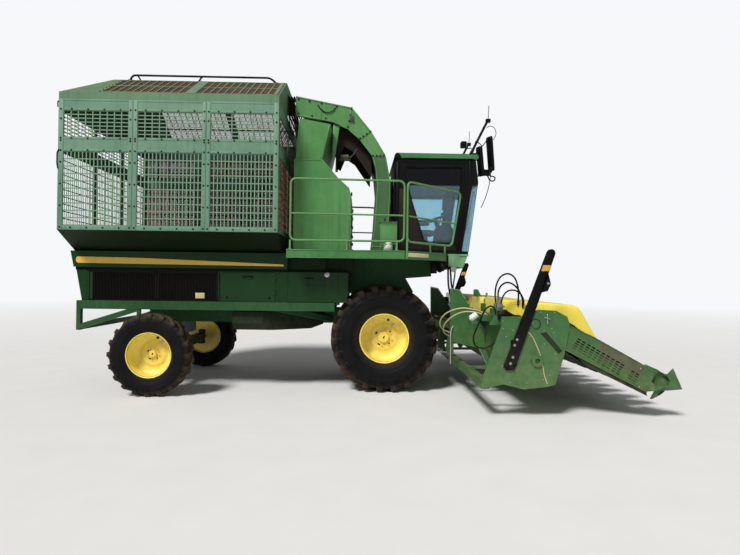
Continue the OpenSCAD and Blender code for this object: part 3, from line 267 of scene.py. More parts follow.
def makeSidePatch():  # 1 inside an upright box of x and z, with a ragged edge
    tree, given, out = newTree("sidePatch", [
        ("Vector", "Vector", None), ("Rear", 0), ("Front", 1),
        ("Low", 0), ("High", 1), ("Slope", 0),
        ("Soft", 0.004), ("Ragged", 0),
    ], [("Mask", "Float")])
    noise = put(tree, "TexNoise", {"Vector": given["Vector"], "Scale": 14, "Detail": 6}).outputs["Color"]
    push = put(tree, "VectorMath", {0: noise, 1: (0.5, 0.5, 0.5)}, operation="SUBTRACT").outputs[0]
    push = put(tree, "VectorMath", {0: push, "Scale": given["Ragged"]}, operation="SCALE").outputs[0]
    moved = put(tree, "VectorMath", {0: given["Vector"], 1: push}, operation="ADD").outputs[0]
    parts = put(tree, "SeparateXYZ", {0: moved}).outputs
    lift = times(tree, minus(tree, parts[0], given["Rear"]), given["Slope"])
    z = minus(tree, parts[2], lift)
    mask = None
    for a, b in ((parts[0], given["Rear"]), (given["Front"], parts[0]), (z, given["Low"]), (given["High"], z)):
        step = mathNode(tree, "DIVIDE", minus(tree, a, b), given["Soft"], True)
        mask = step if mask is None else times(tree, mask, step)
    tree.links.new(mask, out["Mask"])
    return tree


weather, roundMask, sidePatch = makeWeather(), makeRoundMask(), makeSidePatch()
dustTan, rustBrown = rgb(168, 146, 116), rgb(92, 58, 42)


def grouped(tree, group, feeds):
    return put(tree, "Group", feeds, node_tree=group).outputs


def sheen(base):  # dark paints mirror less of the pale floor
    return 0.5 if sum(base) > 150 else 0.14


def finishMaterial(mat, tree, feeds, height=None, bump=0.3, reach=0.004, edges=0.0):
    if height is not None:
        bent = put(tree, "Bump", {"Height": height, "Strength": bump, "Distance": reach})
        if edges:
            tree.links.new(put(tree, "Bevel", {"Radius": edges}, samples=3).outputs[0], bent.inputs["Normal"])
        feeds["Normal"] = bent.outputs[0]
    shader = put(tree, "BsdfPrincipled", feeds)
    put(tree, "OutputMaterial", {"Surface": shader.outputs[0]})
    return mat


def blankMaterial(name):
    mat = bpy.data.materials.new(name)
    mat.use_nodes = True
    mat.node_tree.nodes.clear()
    return mat, mat.node_tree, put(mat.node_tree, "TexCoord", {}).outputs["Object"]


def paint(name, base, faded, fade=0.5, streaks=0.3, dust=0.15, rust=0.1, gloss=0.5, edges=0.005, wear=0.0, patches=(),
        coat=0.0):
    mat, tree, coords = blankMaterial(name)
    tone = rgb(*base)
    for patch in patches:  # painted bands and bare places: (rear, front, low, high, slope, color, ragged)
        rear, front, low, high, slope, color, ragged = patch
        mask = grouped(tree, sidePatch, {"Vector": coords, "Rear": rear / 1000 + frontAxle,
            "Front": front / 1000 + frontAxle, "Low": low / 1000, "High": high / 1000, "Slope": slope,
            "Ragged": ragged, "Soft": 0.004 + ragged * 0.1})[0]
        tone = mixColor(tree, mask, tone, rgb(*color))
    feeds = {"Vector": coords, "Paint": tone, "Faded": rgb(*faded), "Dust Color": dustTan, "Rust Color": rustBrown,
        "Fade": fade, "Streaks": streaks, "Dust": dust, "Rust": rust, "Gloss": gloss}
    if wear:
        bevel = put(tree, "Bevel", {"Radius": 0.012}, samples=4).outputs[0]
        flat = put(tree, "NewGeometry", {}).outputs["Normal"]
        turn = put(tree, "VectorMath", {0: bevel, 1: flat}, operation="DOT_PRODUCT").outputs["Value"]
        feeds["Edge"] = times(tree, ramp(tree, turn, 0.985, 0.82), wear)
    got = grouped(tree, weather, feeds)
    return finishMaterial(mat, tree, {"Base Color": got["Color"], "Roughness": got["Roughness"],
        "Specular IOR Level": sheen(base), "Coat Weight": coat, "Coat Roughness": 0.25}, got["Height"], edges=edges)


def plain(name, base, second=None, rough=0.5, metal=0.0, scale=40.0, bump=0.25, reach=0.002, grain=0.5, edges=0.0,
        dust=0.0, coat=0.0):
    mat, tree, coords = blankMaterial(name)
    fine = noiseOf(tree, coords, scale, 6, 0.65)
    broad = noiseOf(tree, coords, scale / 9, 4)
    mix = times(tree, ramp(tree, plus(tree, fine, broad), 0.75, 1.25), grain)
    tone = mixColor(tree, mix, rgb(*base), rgb(*(second or base)))
    if dust:
        facing = apart(tree, put(tree, "NewGeometry", {}).outputs["Normal"], 2)
        height = apart(tree, coords, 2)
        settled = mathNode(tree, "MAXIMUM", ramp(tree, facing, 0.2, 0.95), ramp(tree, height, 1.4, 0.1, 0.7))
        tone = mixColor(tree, times(tree, times(tree, settled, ramp(tree, fine, 0.35, 0.65)), dust), tone, dustTan)
    roughness = plus(tree, times(tree, fine, 0.18), rough - 0.09, True)
    return finishMaterial(mat, tree, {"Base Color": tone, "Roughness": roughness, "Metallic": metal,
        "Coat Weight": coat, "Specular IOR Level": sheen(base)}, fine, bump=bump, reach=reach, edges=edges)


def wheelPaint(name, centre, lip, base, deep):  # yellow rim, darker towards its middle as painted shade in the dish and brighter at its lip, with dirt in its corners
    mat, tree, coords = blankMaterial(name)
    ring = grouped(tree, roundMask, {"Vector": coords, "Centre X": centre[0], "Centre Z": centre[1],
        "From": lip * 0.25, "To": lip * 0.93})[0]
    noise = noiseOf(tree, coords, 7, 7, 0.68)
    # painted shade: the deep colour in the rim's middle, the base colour at its lip
    tone = mixColor(tree, ring, rgb(*deep), rgb(*base))
    got = grouped(tree, weather, {"Vector": coords, "Paint": tone, "Faded": rgb(236, 214, 110), "Dust Color": dustTan,
        "Rust Color": rustBrown, "Fade": 0.35, "Streaks": 0.25, "Dust": 0.4, "Rust": 0.1, "Gloss": 0.4})
    corner = times(tree, ramp(tree, noise, 0.5, 0.75), 0.35)
    tone = mixColor(tree, corner, got["Color"], rgb(150, 118, 50))
    return finishMaterial(mat, tree, {"Base Color": tone, "Roughness": got["Roughness"]}, got["Height"])


def tyreRubber(name, centre, band, lug):  # grey sidewall, tan dust on the lugs and between them
    mat, tree, coords = blankMaterial(name)
    fine = noiseOf(tree, coords, 26, 8, 0.7)
    broad = noiseOf(tree, coords, 3.2, 5)
    grain = noiseOf(tree, coords, 170, 2)
    tone = mixColor(tree, ramp(tree, broad, 0.35, 0.65), rgb(8, 8, 9), rgb(18, 17, 17))
    out = grouped(tree, roundMask, {"Vector": coords, "Centre X": centre[0], "Centre Z": centre[1],
        "From": band * 0.90, "To": lug})[0]
    low = grouped(tree, roundMask, {"Vector": coords, "Centre X": centre[0], "Centre Z": centre[1],
        "From": band * 0.62, "To": band * 0.5})[0]
    dust = times(tree, out, ramp(tree, plus(tree, fine, times(tree, broad, 0.5)), 0.5, 0.95))
    dust = mathNode(tree, "MAXIMUM", times(tree, dust, 0.85), times(tree, times(tree, low, fine), 0.35))
    tone = mixColor(tree, dust, tone, rgb(96, 80, 64))
    bump = plus(tree, fine, times(tree, grain, 0.4))
    return finishMaterial(mat, tree, {"Base Color": tone, "Roughness": plus(tree, times(tree, dust, 0.3), 0.62),
        "Specular IOR Level": 0.14}, bump, bump=0.5, reach=0.004)


def clearGlass(name, tint, band=None, rough=0.03):  # pale glass, dark above the height of its tinted band
    mat, tree, coords = blankMaterial(name)
    film = noiseOf(tree, coords, 4, 5)
    tone = mixColor(tree, ramp(tree, film, 0.4, 0.8), rgb(*tint), rgb(*(min(255, c + 14) for c in tint)))
    if band:
        height = apart(tree, coords, 2)
        tone = mixColor(tree, ramp(tree, height, band - 0.006, band + 0.006), tone, rgb(28, 36, 44))
    put(tree, "OutputMaterial", {"Surface": put(tree, "BsdfPrincipled", {
        "Base Color": tone, "Roughness": rough, "IOR": 1.3, "Transmission Weight": 0.92, "Metallic": 0.0}).outputs[0]})
    return mat


looks = {
    "basket": paint("basketPaint", (82, 122, 97), (116, 148, 122), fade=0.7, streaks=0.4, dust=0.25, wear=0.5),
    "eave": paint("eavePaint", (70, 110, 78), (104, 134, 96), fade=0.7, streaks=0.6, dust=0.3, rust=0.16),
    "wire": paint("wirePaint", (96, 132, 106), (124, 152, 124), fade=0.7, dust=0.2, rust=0.25, gloss=0.55, edges=0),
    "rustMesh": paint("rustyMesh", (84, 62, 46), (104, 84, 64), fade=0.6, dust=0.2, rust=0.75, gloss=0.65, edges=0),
    # painted shade: the basket's underside is a near-black green for the shade beneath it
    "hopper": paint("hopperPaint", (12, 28, 8), (26, 44, 20), fade=0.4, rust=0.05),
    "duct": paint("ductPaint", (64, 124, 60), (104, 154, 92), rust=0.04, gloss=0.36, coat=0.15),
    "rail": paint("railPaint", (74, 128, 70), (116, 158, 98), streaks=0.2, dust=0.2, rust=0.12, gloss=0.4, edges=0),
    # painted shade: the body's green is made darker for the shade from the basket and platform above
    "body": paint("bodyPaint", (12, 46, 16), (28, 64, 28), fade=0.4, gloss=0.36, coat=0.2, wear=0.5),
    "beam": paint("beamPaint", (34, 72, 40), (62, 100, 62), streaks=0.25, dust=0.25, rust=0.12, gloss=0.42, wear=0.6),
    "dark": paint("darkGreen", (12, 30, 14), (26, 46, 26), fade=0.4, streaks=0.2, dust=0.45, gloss=0.55),
    "screen": plain("screenPaint", (7, 6, 4), (22, 17, 12), rough=0.6, scale=14, dust=0.15),
    "platform": paint("platformPaint", (48, 106, 50), (92, 146, 84), fade=0.4, streaks=0.25, dust=0.3, rust=0.06,
        gloss=0.38, coat=0.15),
    "skirt": paint("skirtPaint", (102, 156, 108), (138, 182, 136), fade=0.4, streaks=0.15, dust=0.12, rust=0.03,
        gloss=0.32, coat=0.3),
    "roof": paint("roofPaint", (46, 106, 56), (90, 146, 92), fade=0.35, streaks=0.1, dust=0.2, rust=0.02, gloss=0.3,
        coat=0.3),
    "cab": plain("cabBlack", (8, 8, 9), (17, 17, 16), rough=0.42, scale=22, dust=0.12, edges=0.004),
    "black": plain("blackPaint", (4, 5, 5), (12, 12, 11), rough=0.4, scale=30, dust=0.15, edges=0.003),
    "header": paint("headerPaint", (34, 86, 36), (70, 120, 60), streaks=0.2, dust=0.45, rust=0.14, gloss=0.38,
        coat=0.15, wear=0.6),
    "rowSide": paint("rowSidePaint", (34, 84, 36), (68, 112, 60), fade=0.45, streaks=0.15, dust=0.4, rust=0.14,
        gloss=0.4, wear=0.6, patches=[(2990, 3620, 905, 1400, -0.503, (72, 56, 46), 0.10),
        (3330, 3720, 300, 620, -0.503, (70, 54, 44), 0.08)]),
    "yellow": paint("hoodYellow", (250, 226, 66), (252, 236, 130), fade=0.3, streaks=0.1, rust=0.0, gloss=0.32,
        coat=0.3),
    "engine": plain("castGrey", (54, 58, 50), (80, 76, 62), rough=0.7, scale=12, dust=0.5, bump=0.5),
    "auger": plain("augerSteel", (104, 84, 62), (84, 52, 34), metal=0.55, scale=9, grain=0.9, dust=0.3),
    "chrome": plain("rodChrome", (196, 198, 202), (170, 172, 176), rough=0.14, metal=1.0, scale=60, bump=0.05),
    "roll": plain("rollRubber", (30, 30, 28), (52, 48, 42), rough=0.8, scale=24, dust=0.5, bump=0.6),
    "hose": plain("hoseRubber", (10, 10, 11), (20, 20, 20), rough=0.55, scale=50, dust=0.15, bump=0.2),
    # black rubber for seals, also used as painted shade in holes, gaps and behind slots
    "seal": plain("sealRubber", (7, 7, 7), (15, 15, 15), rough=0.7, scale=30),
    "cream": plain("creamHose", (196, 184, 140), (170, 156, 112), scale=20),
    "paleHose": plain("paleHose", (168, 166, 158), (140, 138, 130), scale=24),
    "white": plain("whitePlastic", (226, 228, 224), (200, 200, 192), rough=0.4, scale=14),
    "silver": plain("zincFitting", (182, 184, 184), (140, 136, 128), rough=0.3, metal=0.9),
    "bolt": plain("darkBolt", (34, 38, 34), (70, 56, 44), metal=0.4, scale=60),
    "stripe": paint("stripePaint", (214, 172, 52), (226, 192, 96), fade=0.3, streaks=0.2, rust=0.02, gloss=0.34,
        coat=0.2),
    # painted shade: the upright duct gets a darker copy of the duct paint
    "ductShade": paint("ductLower", (46, 90, 44), (78, 120, 72), rust=0.04, gloss=0.4, coat=0.1),
    # painted shade: a very dark green for the panels in the shade under the platform
    "filler": plain("fillerGreen", (12, 34, 12), (22, 46, 20), rough=0.6, scale=6, dust=0.1),
    "amber": plain("amberBand", (206, 160, 66), (176, 126, 48), rough=0.35, scale=20),
    "lamp": plain("lampLens", (224, 226, 220), (196, 198, 190), rough=0.15, scale=30, coat=0.6),
    "cloth": plain("seatCloth", (58, 58, 60), (40, 40, 42), rough=0.95, scale=240, bump=0.6, reach=0.001),
    "plastic": plain("blackPlastic", (28, 28, 28), (40, 40, 40), rough=0.55, scale=80, bump=0.35),
    "brown": plain("panelBrown", (30, 20, 17), (44, 31, 26), rough=0.45, scale=6, dust=0.1, coat=0.2),
    # painted shade for the hollow under the duct hood
    "lining": plain("liningDark", (46, 36, 28), (30, 26, 22), rough=0.7, scale=10, dust=0.2),
    "creamStrip": plain("creamStrip", (214, 206, 160), (190, 184, 140), rough=0.35, scale=90, coat=0.4),
    "glass": clearGlass("cabGlass", (186, 218, 230), band=3.69),
    "mirror": plain("mirrorGlass", (200, 206, 210), (190, 196, 200), rough=0.04, metal=1.0, scale=10, bump=0.0),
}
wheels = {
    "front_right": (0, -1000, 940, 0.896, 0.94), "front_left": (0, 1000, 940, 0.896, 0.94),
    "rear_right": (-3880, -1630, 680, 0.654, 0.68), "rear_left": (-3880, 1630, 680, 0.654, 0.68),
}
for wheel, (x, y, z, band, top) in wheels.items():
    spot = (x / 1000 + frontAxle, z / 1000)
    looks["tyre_" + wheel] = tyreRubber("tyre_" + wheel, spot, band, top)
    # the last colour is the painted shade of the rim's dish
    looks["rim_" + wheel] = wheelPaint("rim_" + wheel, spot, 0.434 if "front" in wheel else 0.374, (252, 232, 100),
        (236, 206, 76))
print("materials:", len(looks))

nodeLooks = {  # the nodes of each look
    "beam": "main_frame",
    "dark": "front_axle rear_axle knuckle_right knuckle_left fuel_tanks lower_duct",
    "black": "tie_rod mirrors roof_rail dump_barrels marker_arms lift_barrels",
    "body": "body_shell service_door_right service_door_left",
    "screen": "air_screens",
    "engine": "engine",
    "platform": "platform ladder",
    "rail": "handrails",
    "cab": "cab_frame cab_door",
    "roof": "cab_roof",
    "glass": "cab_glass cab_door_glass",
    "skirt": "cab_skirt",
    "cloth": "seat",
    "plastic": "steering_column",
    "lamp": "lamps",
    "ductShade": "upright_duct",
    "duct": "duct_hood cleaner_box",
    "basket": "basket_frame",
    "wire": "basket_mesh",
    "hopper": "hopper_bottom",
    "eave": "basket_hood",
    "rustMesh": "hood_screen basket_lid",
    "chrome": "dump_rods lift_rods",
    "header": "header_frame",
    "auger": "cross_auger",
    "rowSide": "row_units",
    "roll": "stripper_rolls",
    "yellow": "row_hoods",
}
lookOf = {node: look for look, named in nodeLooks.items() for node in named.split()}
for name, node in nodes.items():
    look = lookOf.get(name) or ("tyre_" if "tyre" in name else "rim_") + "_".join((name.split("_")[0],
        name.split("_")[2]))
    node.data.materials.clear()
    node.data.materials.append(looks[look])

setLight()
setFloor()


def sideName(side):
    return "right" if side > 0 else "left"


# ---- small tools for shapes, all in millimetres from the front axle
def box(bm, low, high):  # between two opposite corners
    low, high = zip(*(sorted(pair) for pair in zip(low, high)))
    corners = [bm.verts.new(at(x, y, z)) for x in (low[0], high[0]) for y in (low[1], high[1]) for z in (low[2],
        high[2])]
    for face in ((0, 1, 3, 2), (4, 6, 7, 5), (0, 4, 5, 1), (2, 3, 7, 6), (0, 2, 6, 4), (1, 5, 7, 3)):
        bm.faces.new([corners[i] for i in face])


def spot(plane, u, v, w):  # a point drawn in one plane, w along its normal
    return at(u, w, v) if plane == "xz" else at(u, v, w)


def prism(bm, outline, a, b, plane="xz"):  # an outline drawn in one plane, from a to b along its normal
    a, b = sorted((a, b))
    near = [bm.verts.new(spot(plane, u, v, a)) for u, v in outline]
    far = [bm.verts.new(spot(plane, u, v, b)) for u, v in outline]
    bm.faces.new(near)
    bm.faces.new(far[::-1])
    for i in range(len(near)):
        j = (i + 1) % len(near)
        bm.faces.new((near[j], near[i], far[i], far[j]))


def rounded(points, radius, steps=5, closed=True):  # an outline or path with filleted corners
    out = []
    count = len(points)
    for i, p in enumerate(points):
        p = Vector(p)
        if not closed and i in (0, count - 1):
            out.append(p)
            continue
        before, after = Vector(points[i - 1]) - p, Vector(points[(i + 1) % count]) - p
        r = min(radius[i] if isinstance(radius, (list, tuple)) else radius, before.length * 0.49, after.length * 0.49)
        if r < 0.5:
            out.append(p)
            continue
        a, b = p + before.normalized() * r, p + after.normalized() * r
        for k in range(steps + 1):
            t = k / steps
            out.append(a * (1 - t) ** 2 + p * (2 * t * (1 - t)) + b * t * t)
    return out


def skin(bm, rings, closed=False):  # faces from each ring of corners to the next, and the two ends
    for one, two in zip(rings, rings[1:] + (rings[:1] if closed else [])):
        size = len(one)
        for k in range(size):
            bm.faces.new((one[k], one[(k + 1) % size], two[(k + 1) % size], two[k]))
    if not closed:
        bm.faces.new(rings[0][::-1])
        bm.faces.new(rings[-1])


def sweep(bm, path, section, closed=False, flat=None):  # carries a section of (side, up) points along a path
    path = [Vector(p) for p in path]
    count = len(path)
    rings = []
    up = None
    for i, p in enumerate(path):
        a = path[i - 1] if (i or closed) else p
        b = path[(i + 1) % count] if (i < count - 1 or closed) else p
        along = (b - a).normalized()
        guess = Vector(flat) if flat else up or Vector((0, 0, 1) if abs(along.z) < 0.9 else (1, 0, 0))
        up = (guess - along * guess.dot(along)).normalized()
        side = along.cross(up)
        rings.append([bm.verts.new(at(*(p + side * u + up * v))) for u, v in section])
    skin(bm, rings, closed)


def circle(radius, sides=12):
    return [(radius * cos(2 * pi * k / sides), radius * sin(2 * pi * k / sides)) for k in range(sides)]


def tube(bm, path, radius, sides=12, closed=False):
    sweep(bm, path, circle(radius, sides), closed)


def strip(bm, path, width, thick, flat):  # flat bar, its thickness along flat
    w, t = width / 2, thick / 2
    sweep(bm, path, [(-w, -t), (w, -t), (w, t), (-w, t)], False, flat)


def wallStrip(bm, y, path, width, thick):  # a flat bar on an upright wall, its path in x and z
    strip(bm, [(a, y, b) for a, b in path], width, thick, (0, 1, 0))


def lathe(bm, profile, centre, axis="y", steps=64, turn=0.0):  # profile of (radius, along) about an axis
    rings = []
    for radius, along in profile:
        ring = []
        for k in range(steps if radius > 0.01 else 1):
            a = 2 * pi * k / steps + turn
            u, v = radius * cos(a), radius * sin(a)
            p = {"y": (u, along, v), "x": (along, u, v), "z": (u, v, along)}[axis]
            ring.append(bm.verts.new(at(centre[0] + p[0], centre[1] + p[1], centre[2] + p[2])))
        rings.append(ring)
    for one, two in zip(rings, rings[1:]):
        for k in range(steps):
            quad = [one[k % len(one)], one[(k + 1) % len(one)], two[(k + 1) % len(two)], two[k % len(two)]]
            quad = [v for i, v in enumerate(quad) if v not in quad[:i]]
            if len(quad) > 2:
                bm.faces.new(quad)
    for ring, flip in ((rings[0], 1), (rings[-1], -1)):
        if len(ring) > 2 and profile[0] != profile[-1]:
            bm.faces.new(ring[::flip])


def plate(bm, outline, holes, a, b):  # a flat sheet with holes in XZ, from a filled curve
    curve = bpy.data.curves.new("outline", "CURVE")
    curve.dimensions = "2D"
    curve.fill_mode = "BOTH"
    curve.extrude = abs(b - a) / 2000
    for ring in [outline, *holes]:
        line = curve.splines.new("POLY")
        line.points.add(len(ring) - 1)
        for point, (u, v) in zip(line.points, ring):
            point.co = (u / 1000, v / 1000, 0, 1)
        line.use_cyclic_u = True
    holder = bpy.data.objects.new("outline", curve)
    mesh = bpy.data.meshes.new_from_object(holder)
    middle = (a + b) / 2000
    for vertex in mesh.vertices:
        u, v, w = vertex.co
        vertex.co = spot("xz", u * 1000, v * 1000, (w + middle) * 1000)
    bm.from_mesh(mesh)
    bpy.data.objects.remove(holder)
    bpy.data.curves.remove(curve)
    bpy.data.meshes.remove(mesh)


def mirrored(bm):  # adds the same shapes on the left side
    copy = bmesh.ops.duplicate(bm, geom=bm.verts[:] + bm.edges[:] + bm.faces[:])["geom"]
    for v in [g for g in copy if isinstance(g, bmesh.types.BMVert)]:
        v.co.y = -v.co.y


def piece(name, bm, look, body="chassis", smooth=35, bevel=0.0, replaces=(), rounds=2):
    bmesh.ops.recalc_face_normals(bm, faces=bm.faces)
    mesh = bpy.data.meshes.new(name)
    bm.to_mesh(mesh)
    bm.free()
    made = bpy.data.objects.new(name, mesh)
    bpy.context.scene.collection.objects.link(made)
    if bevel:
        edge = made.modifiers.new("edge", "BEVEL")
        edge.width = bevel / 1000
        edge.segments = rounds
        edge.limit_method = "ANGLE"
        edge.angle_limit = radians(38)
        solid = bpy.data.meshes.new_from_object(made.evaluated_get(bpy.context.evaluated_depsgraph_get()))
        made.modifiers.clear()
        made.data = solid
        bpy.data.meshes.remove(mesh)
        mesh = solid
        mesh.name = name
    mesh.shade_smooth()
    mesh.set_sharp_from_angle(angle=radians(smooth))
    mesh.materials.clear()
    mesh.materials.append(looks[look])
    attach(made, body)
    if replaces:
        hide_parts(*replaces)
    return made


# ---- node trees for what repeats
def socketKey(tree, label):
    return next(item.identifier for item in tree.interface.items_tree if item.name == label and item.in_out == "INPUT")


def grow(tree, values, mesh=None, look=None):  # runs a geometry tree and hands back a plain mesh
    holder = bpy.data.objects.new("grown", mesh or bpy.data.meshes.new("grown"))
    bpy.context.scene.collection.objects.link(holder)
    modifier = holder.modifiers.new("grow", "NODES")
    modifier.node_group = tree
    for label, value in values.items():
        modifier[socketKey(tree, label)] = value
    if look:
        modifier[socketKey(tree, "Material")] = looks[look]
    bpy.context.view_layer.update()
    result = bpy.data.meshes.new_from_object(holder.evaluated_get(bpy.context.evaluated_depsgraph_get()))
    holder.modifiers.clear()
    bpy.data.objects.remove(holder)
    return result


def bring(bm, mesh, matrix=None):  # adds a grown mesh to a piece
    if matrix is not None:
        mesh.transform(matrix)
    bm.from_mesh(mesh)
    bpy.data.meshes.remove(mesh)


def closeTree(tree, made, given, out):  # hands out real shapes in the material that comes in
    real = put(tree, "GeometryNodeRealizeInstances", {"Geometry": made.outputs[0]})
    done = put(tree, "GeometryNodeSetMaterial", {"Geometry": real.outputs[0], "Material": given["Material"]})
    tree.links.new(done.outputs[0], out[0])
    return tree


def makeBoltTree():  # a washer and a six-sided head on each point, along its facing
    tree, given, out = newTree("boltHeads", [
        ("Geometry", "Geometry", None), ("Radius", 0.011), ("Head", 0.009),
        ("Washer", 0.016), ("Material", "Material", None),
    ], [("Geometry", "Geometry")], "GeometryNodeTree")
    half = times(tree, given["Head"], 0.5)
    head = put(tree, "GeometryNodeMeshCylinder", {"Vertices": 6, "Radius": given["Radius"], "Depth": given["Head"]})
    lift = put(tree, "CombineXYZ", {"Z": half})
    head = put(tree, "GeometryNodeTransform", {"Geometry": head.outputs["Mesh"], "Translation": lift.outputs[0]})
    ring = put(tree, "GeometryNodeMeshCylinder", {"Vertices": 12, "Radius": given["Washer"],
        "Depth": times(tree, given["Head"], 0.5)})
    both = put(tree, "GeometryNodeJoinGeometry", {})
    tree.links.new(head.outputs[0], both.inputs[0])
    tree.links.new(ring.outputs["Mesh"], both.inputs[0])
    facing = put(tree, "GeometryNodeInputNamedAttribute", {"Name": "facing"}, data_type="FLOAT_VECTOR")
    turn = put(tree, "FunctionNodeAlignRotationToVector", {"Vector": facing.outputs[0]}, axis="Z")
    spin = put(tree, "FunctionNodeRandomValue", {"Min": 0.0, "Max": 1.0, "Seed": 7}, data_type="FLOAT")
    spun = put(tree, "FunctionNodeRotateRotation", {"Rotation": turn.outputs[0]}, rotation_space="LOCAL")
    angle = put(tree, "FunctionNodeAxisAngleToRotation", {"Axis": (0, 0, 1), "Angle": spin.outputs[1]})
    tree.links.new(angle.outputs[0], spun.inputs["Rotate By"])
    placed = put(tree, "GeometryNodeInstanceOnPoints", {"Points": given["Geometry"], "Instance": both.outputs[0],
        "Rotation": spun.outputs[0]})
    return closeTree(tree, placed, given, out)


def makeGridTree():  # upright and level wires of a panel that stands in XZ from its corner
    tree, given, out = newTree("wirePanel", [
        ("Width", 1.0), ("Height", 1.0), ("Columns", "Int", 17),
        ("Rows", "Int", 10), ("Wire", 0.016), ("Thick", 0.006),
        ("Material", "Material", None),
    ], [("Geometry", "Geometry")], "GeometryNodeTree")
    both = put(tree, "GeometryNodeJoinGeometry", {})
    for count, size, across, first in (("Columns", "Width", "Height", True), ("Rows", "Height", "Width", False)):
        step = mathNode(tree, "DIVIDE", given[size], given[count])
        offset = put(tree, "CombineXYZ", {"X": step} if first else {"Z": step})
        line = put(tree, "GeometryNodeMeshLine", {"Count": plus(tree, given[count], 1), "Offset": offset.outputs[0]},
            mode="OFFSET")
        size3 = put(tree, "CombineXYZ", {"X": given["Wire"] if first else given[across], "Y": given["Thick"],
            "Z": given[across] if first else given["Wire"]})
        bar = put(tree, "GeometryNodeMeshCube", {"Size": size3.outputs[0]})
        middle = times(tree, given[across], 0.5)
        shift = put(tree, "CombineXYZ", {"Z": middle, "Y": 0.0} if first else {"X": middle,
            "Y": times(tree, given["Thick"], 0.7)})
        moved = put(tree, "GeometryNodeTransform", {"Geometry": bar.outputs[0], "Translation": shift.outputs[0]})
        placed = put(tree, "GeometryNodeInstanceOnPoints", {"Points": line.outputs[0], "Instance": moved.outputs[0]})
        tree.links.new(placed.outputs[0], both.inputs[0])
    return closeTree(tree, both, given, out)


def makeRowTree():  # equal bars side by side, first at the corner, along X
    tree, given, out = newTree("barRow", [
        ("Count", "Int", 10), ("Pitch", 0.1), ("Size", "Vector", (0.02, 0.01, 1.0)),
        ("Material", "Material", None),
    ], [("Geometry", "Geometry")], "GeometryNodeTree")
    line = put(tree, "GeometryNodeMeshLine", {"Count": given["Count"], "Offset": put(
        tree, "CombineXYZ", {"X": given["Pitch"]}).outputs[0]}, mode="OFFSET")
    bar = put(tree, "GeometryNodeMeshCube", {"Size": given["Size"]})
    placed = put(tree, "GeometryNodeInstanceOnPoints", {"Points": line.outputs[0], "Instance": bar.outputs[0]})
    return closeTree(tree, placed, given, out)


def makeWheelTree():  # a shape repeated round the Y axis through the origin
    tree, given, out = newTree("roundWheel", [
        ("Geometry", "Geometry", None), ("Count", "Int", 22), ("Start", 0.0),
        ("Material", "Material", None),
    ], [("Geometry", "Geometry")], "GeometryNodeTree")
    points = put(tree, "GeometryNodeMeshLine", {"Count": given["Count"], "Offset": (0, 0, 0)}, mode="OFFSET")
    index = put(tree, "GeometryNodeInputIndex", {})
    share = mathNode(tree, "DIVIDE", plus(tree, index.outputs[0], given["Start"]), given["Count"])
    angle = times(tree, share, 2 * pi)
    turn = put(tree, "FunctionNodeAxisAngleToRotation", {"Axis": (0, 1, 0), "Angle": angle})
    placed = put(tree, "GeometryNodeInstanceOnPoints", {"Points": points.outputs[0], "Instance": given["Geometry"],
        "Rotation": turn.outputs[0]})
    return closeTree(tree, placed, given, out)


boltTree, gridTree, rowTree, wheelTree = makeBoltTree(), makeGridTree(), makeRowTree(), makeWheelTree()


def bolts(name, spots, body, look="bolt", radius=11, head=9, washer=16):  # spots are (place, facing)
    mesh = bpy.data.meshes.new(name)
    mesh.from_pydata([at(*place) for place, facing in spots], [], [])
    facing = mesh.attributes.new("facing", "FLOAT_VECTOR", "POINT")
    facing.data.foreach_set("vector", [c for place, way in spots for c in way])
    made = grow(boltTree, {"Radius": radius / 1000, "Head": head / 1000, "Washer": washer / 1000}, mesh, look)
    bm = bmesh.new()
    bring(bm, made)
    return piece(name, bm, look, body, smooth=30)


# ---- wheels
tyres = {
    "front": {"across": 1880, "width": 600, "seat": 406, "lugHeight": 44, "lugs": 22, "lead": 215, "foot": 54,
        "crown": 38},
    "rear": {"across": 1360, "width": 350, "seat": 352, "lugHeight": 26, "lugs": 20, "lead": 120, "foot": 40,
        "crown": 29},
}
rims = {
    "front": {"lip": 434, "seat": 406, "half": 234, "face": 26, "step": 269, "flat": 217, "hub": 96, "nutRing": 150,
        "nut": 17, "nuts": 8},
    "rear": {"lip": 374, "seat": 352, "half": 141.5, "face": 88.5, "step": 232, "flat": 187, "hub": 60, "nutRing": 98,
        "nut": 13, "nuts": 8},
}


def carcass(v):  # half section of the tyre from crown to bead, as (radius, offset)
    tall = v["across"] / 2 - v["lugHeight"] - v["seat"]
    return [(v["seat"] + tall * t, v["width"] * y) for t, y in (
        (1, 0), (0.996, 0.15), (0.984, 0.28), (0.958, 0.37), (0.91, 0.435), (0.84, 0.468), (0.76, 0.486), (0.70, 0.494),
        (0.69, 0.499), (0.67, 0.500), (0.655, 0.496), (0.55, 0.498), (0.42, 0.490), (0.33, 0.476), (0.32, 0.468),
            (0.30, 0.468),
        (0.29, 0.466), (0.18, 0.436), (0.10, 0.402), (0.075, 0.375), (0, 0.37))]


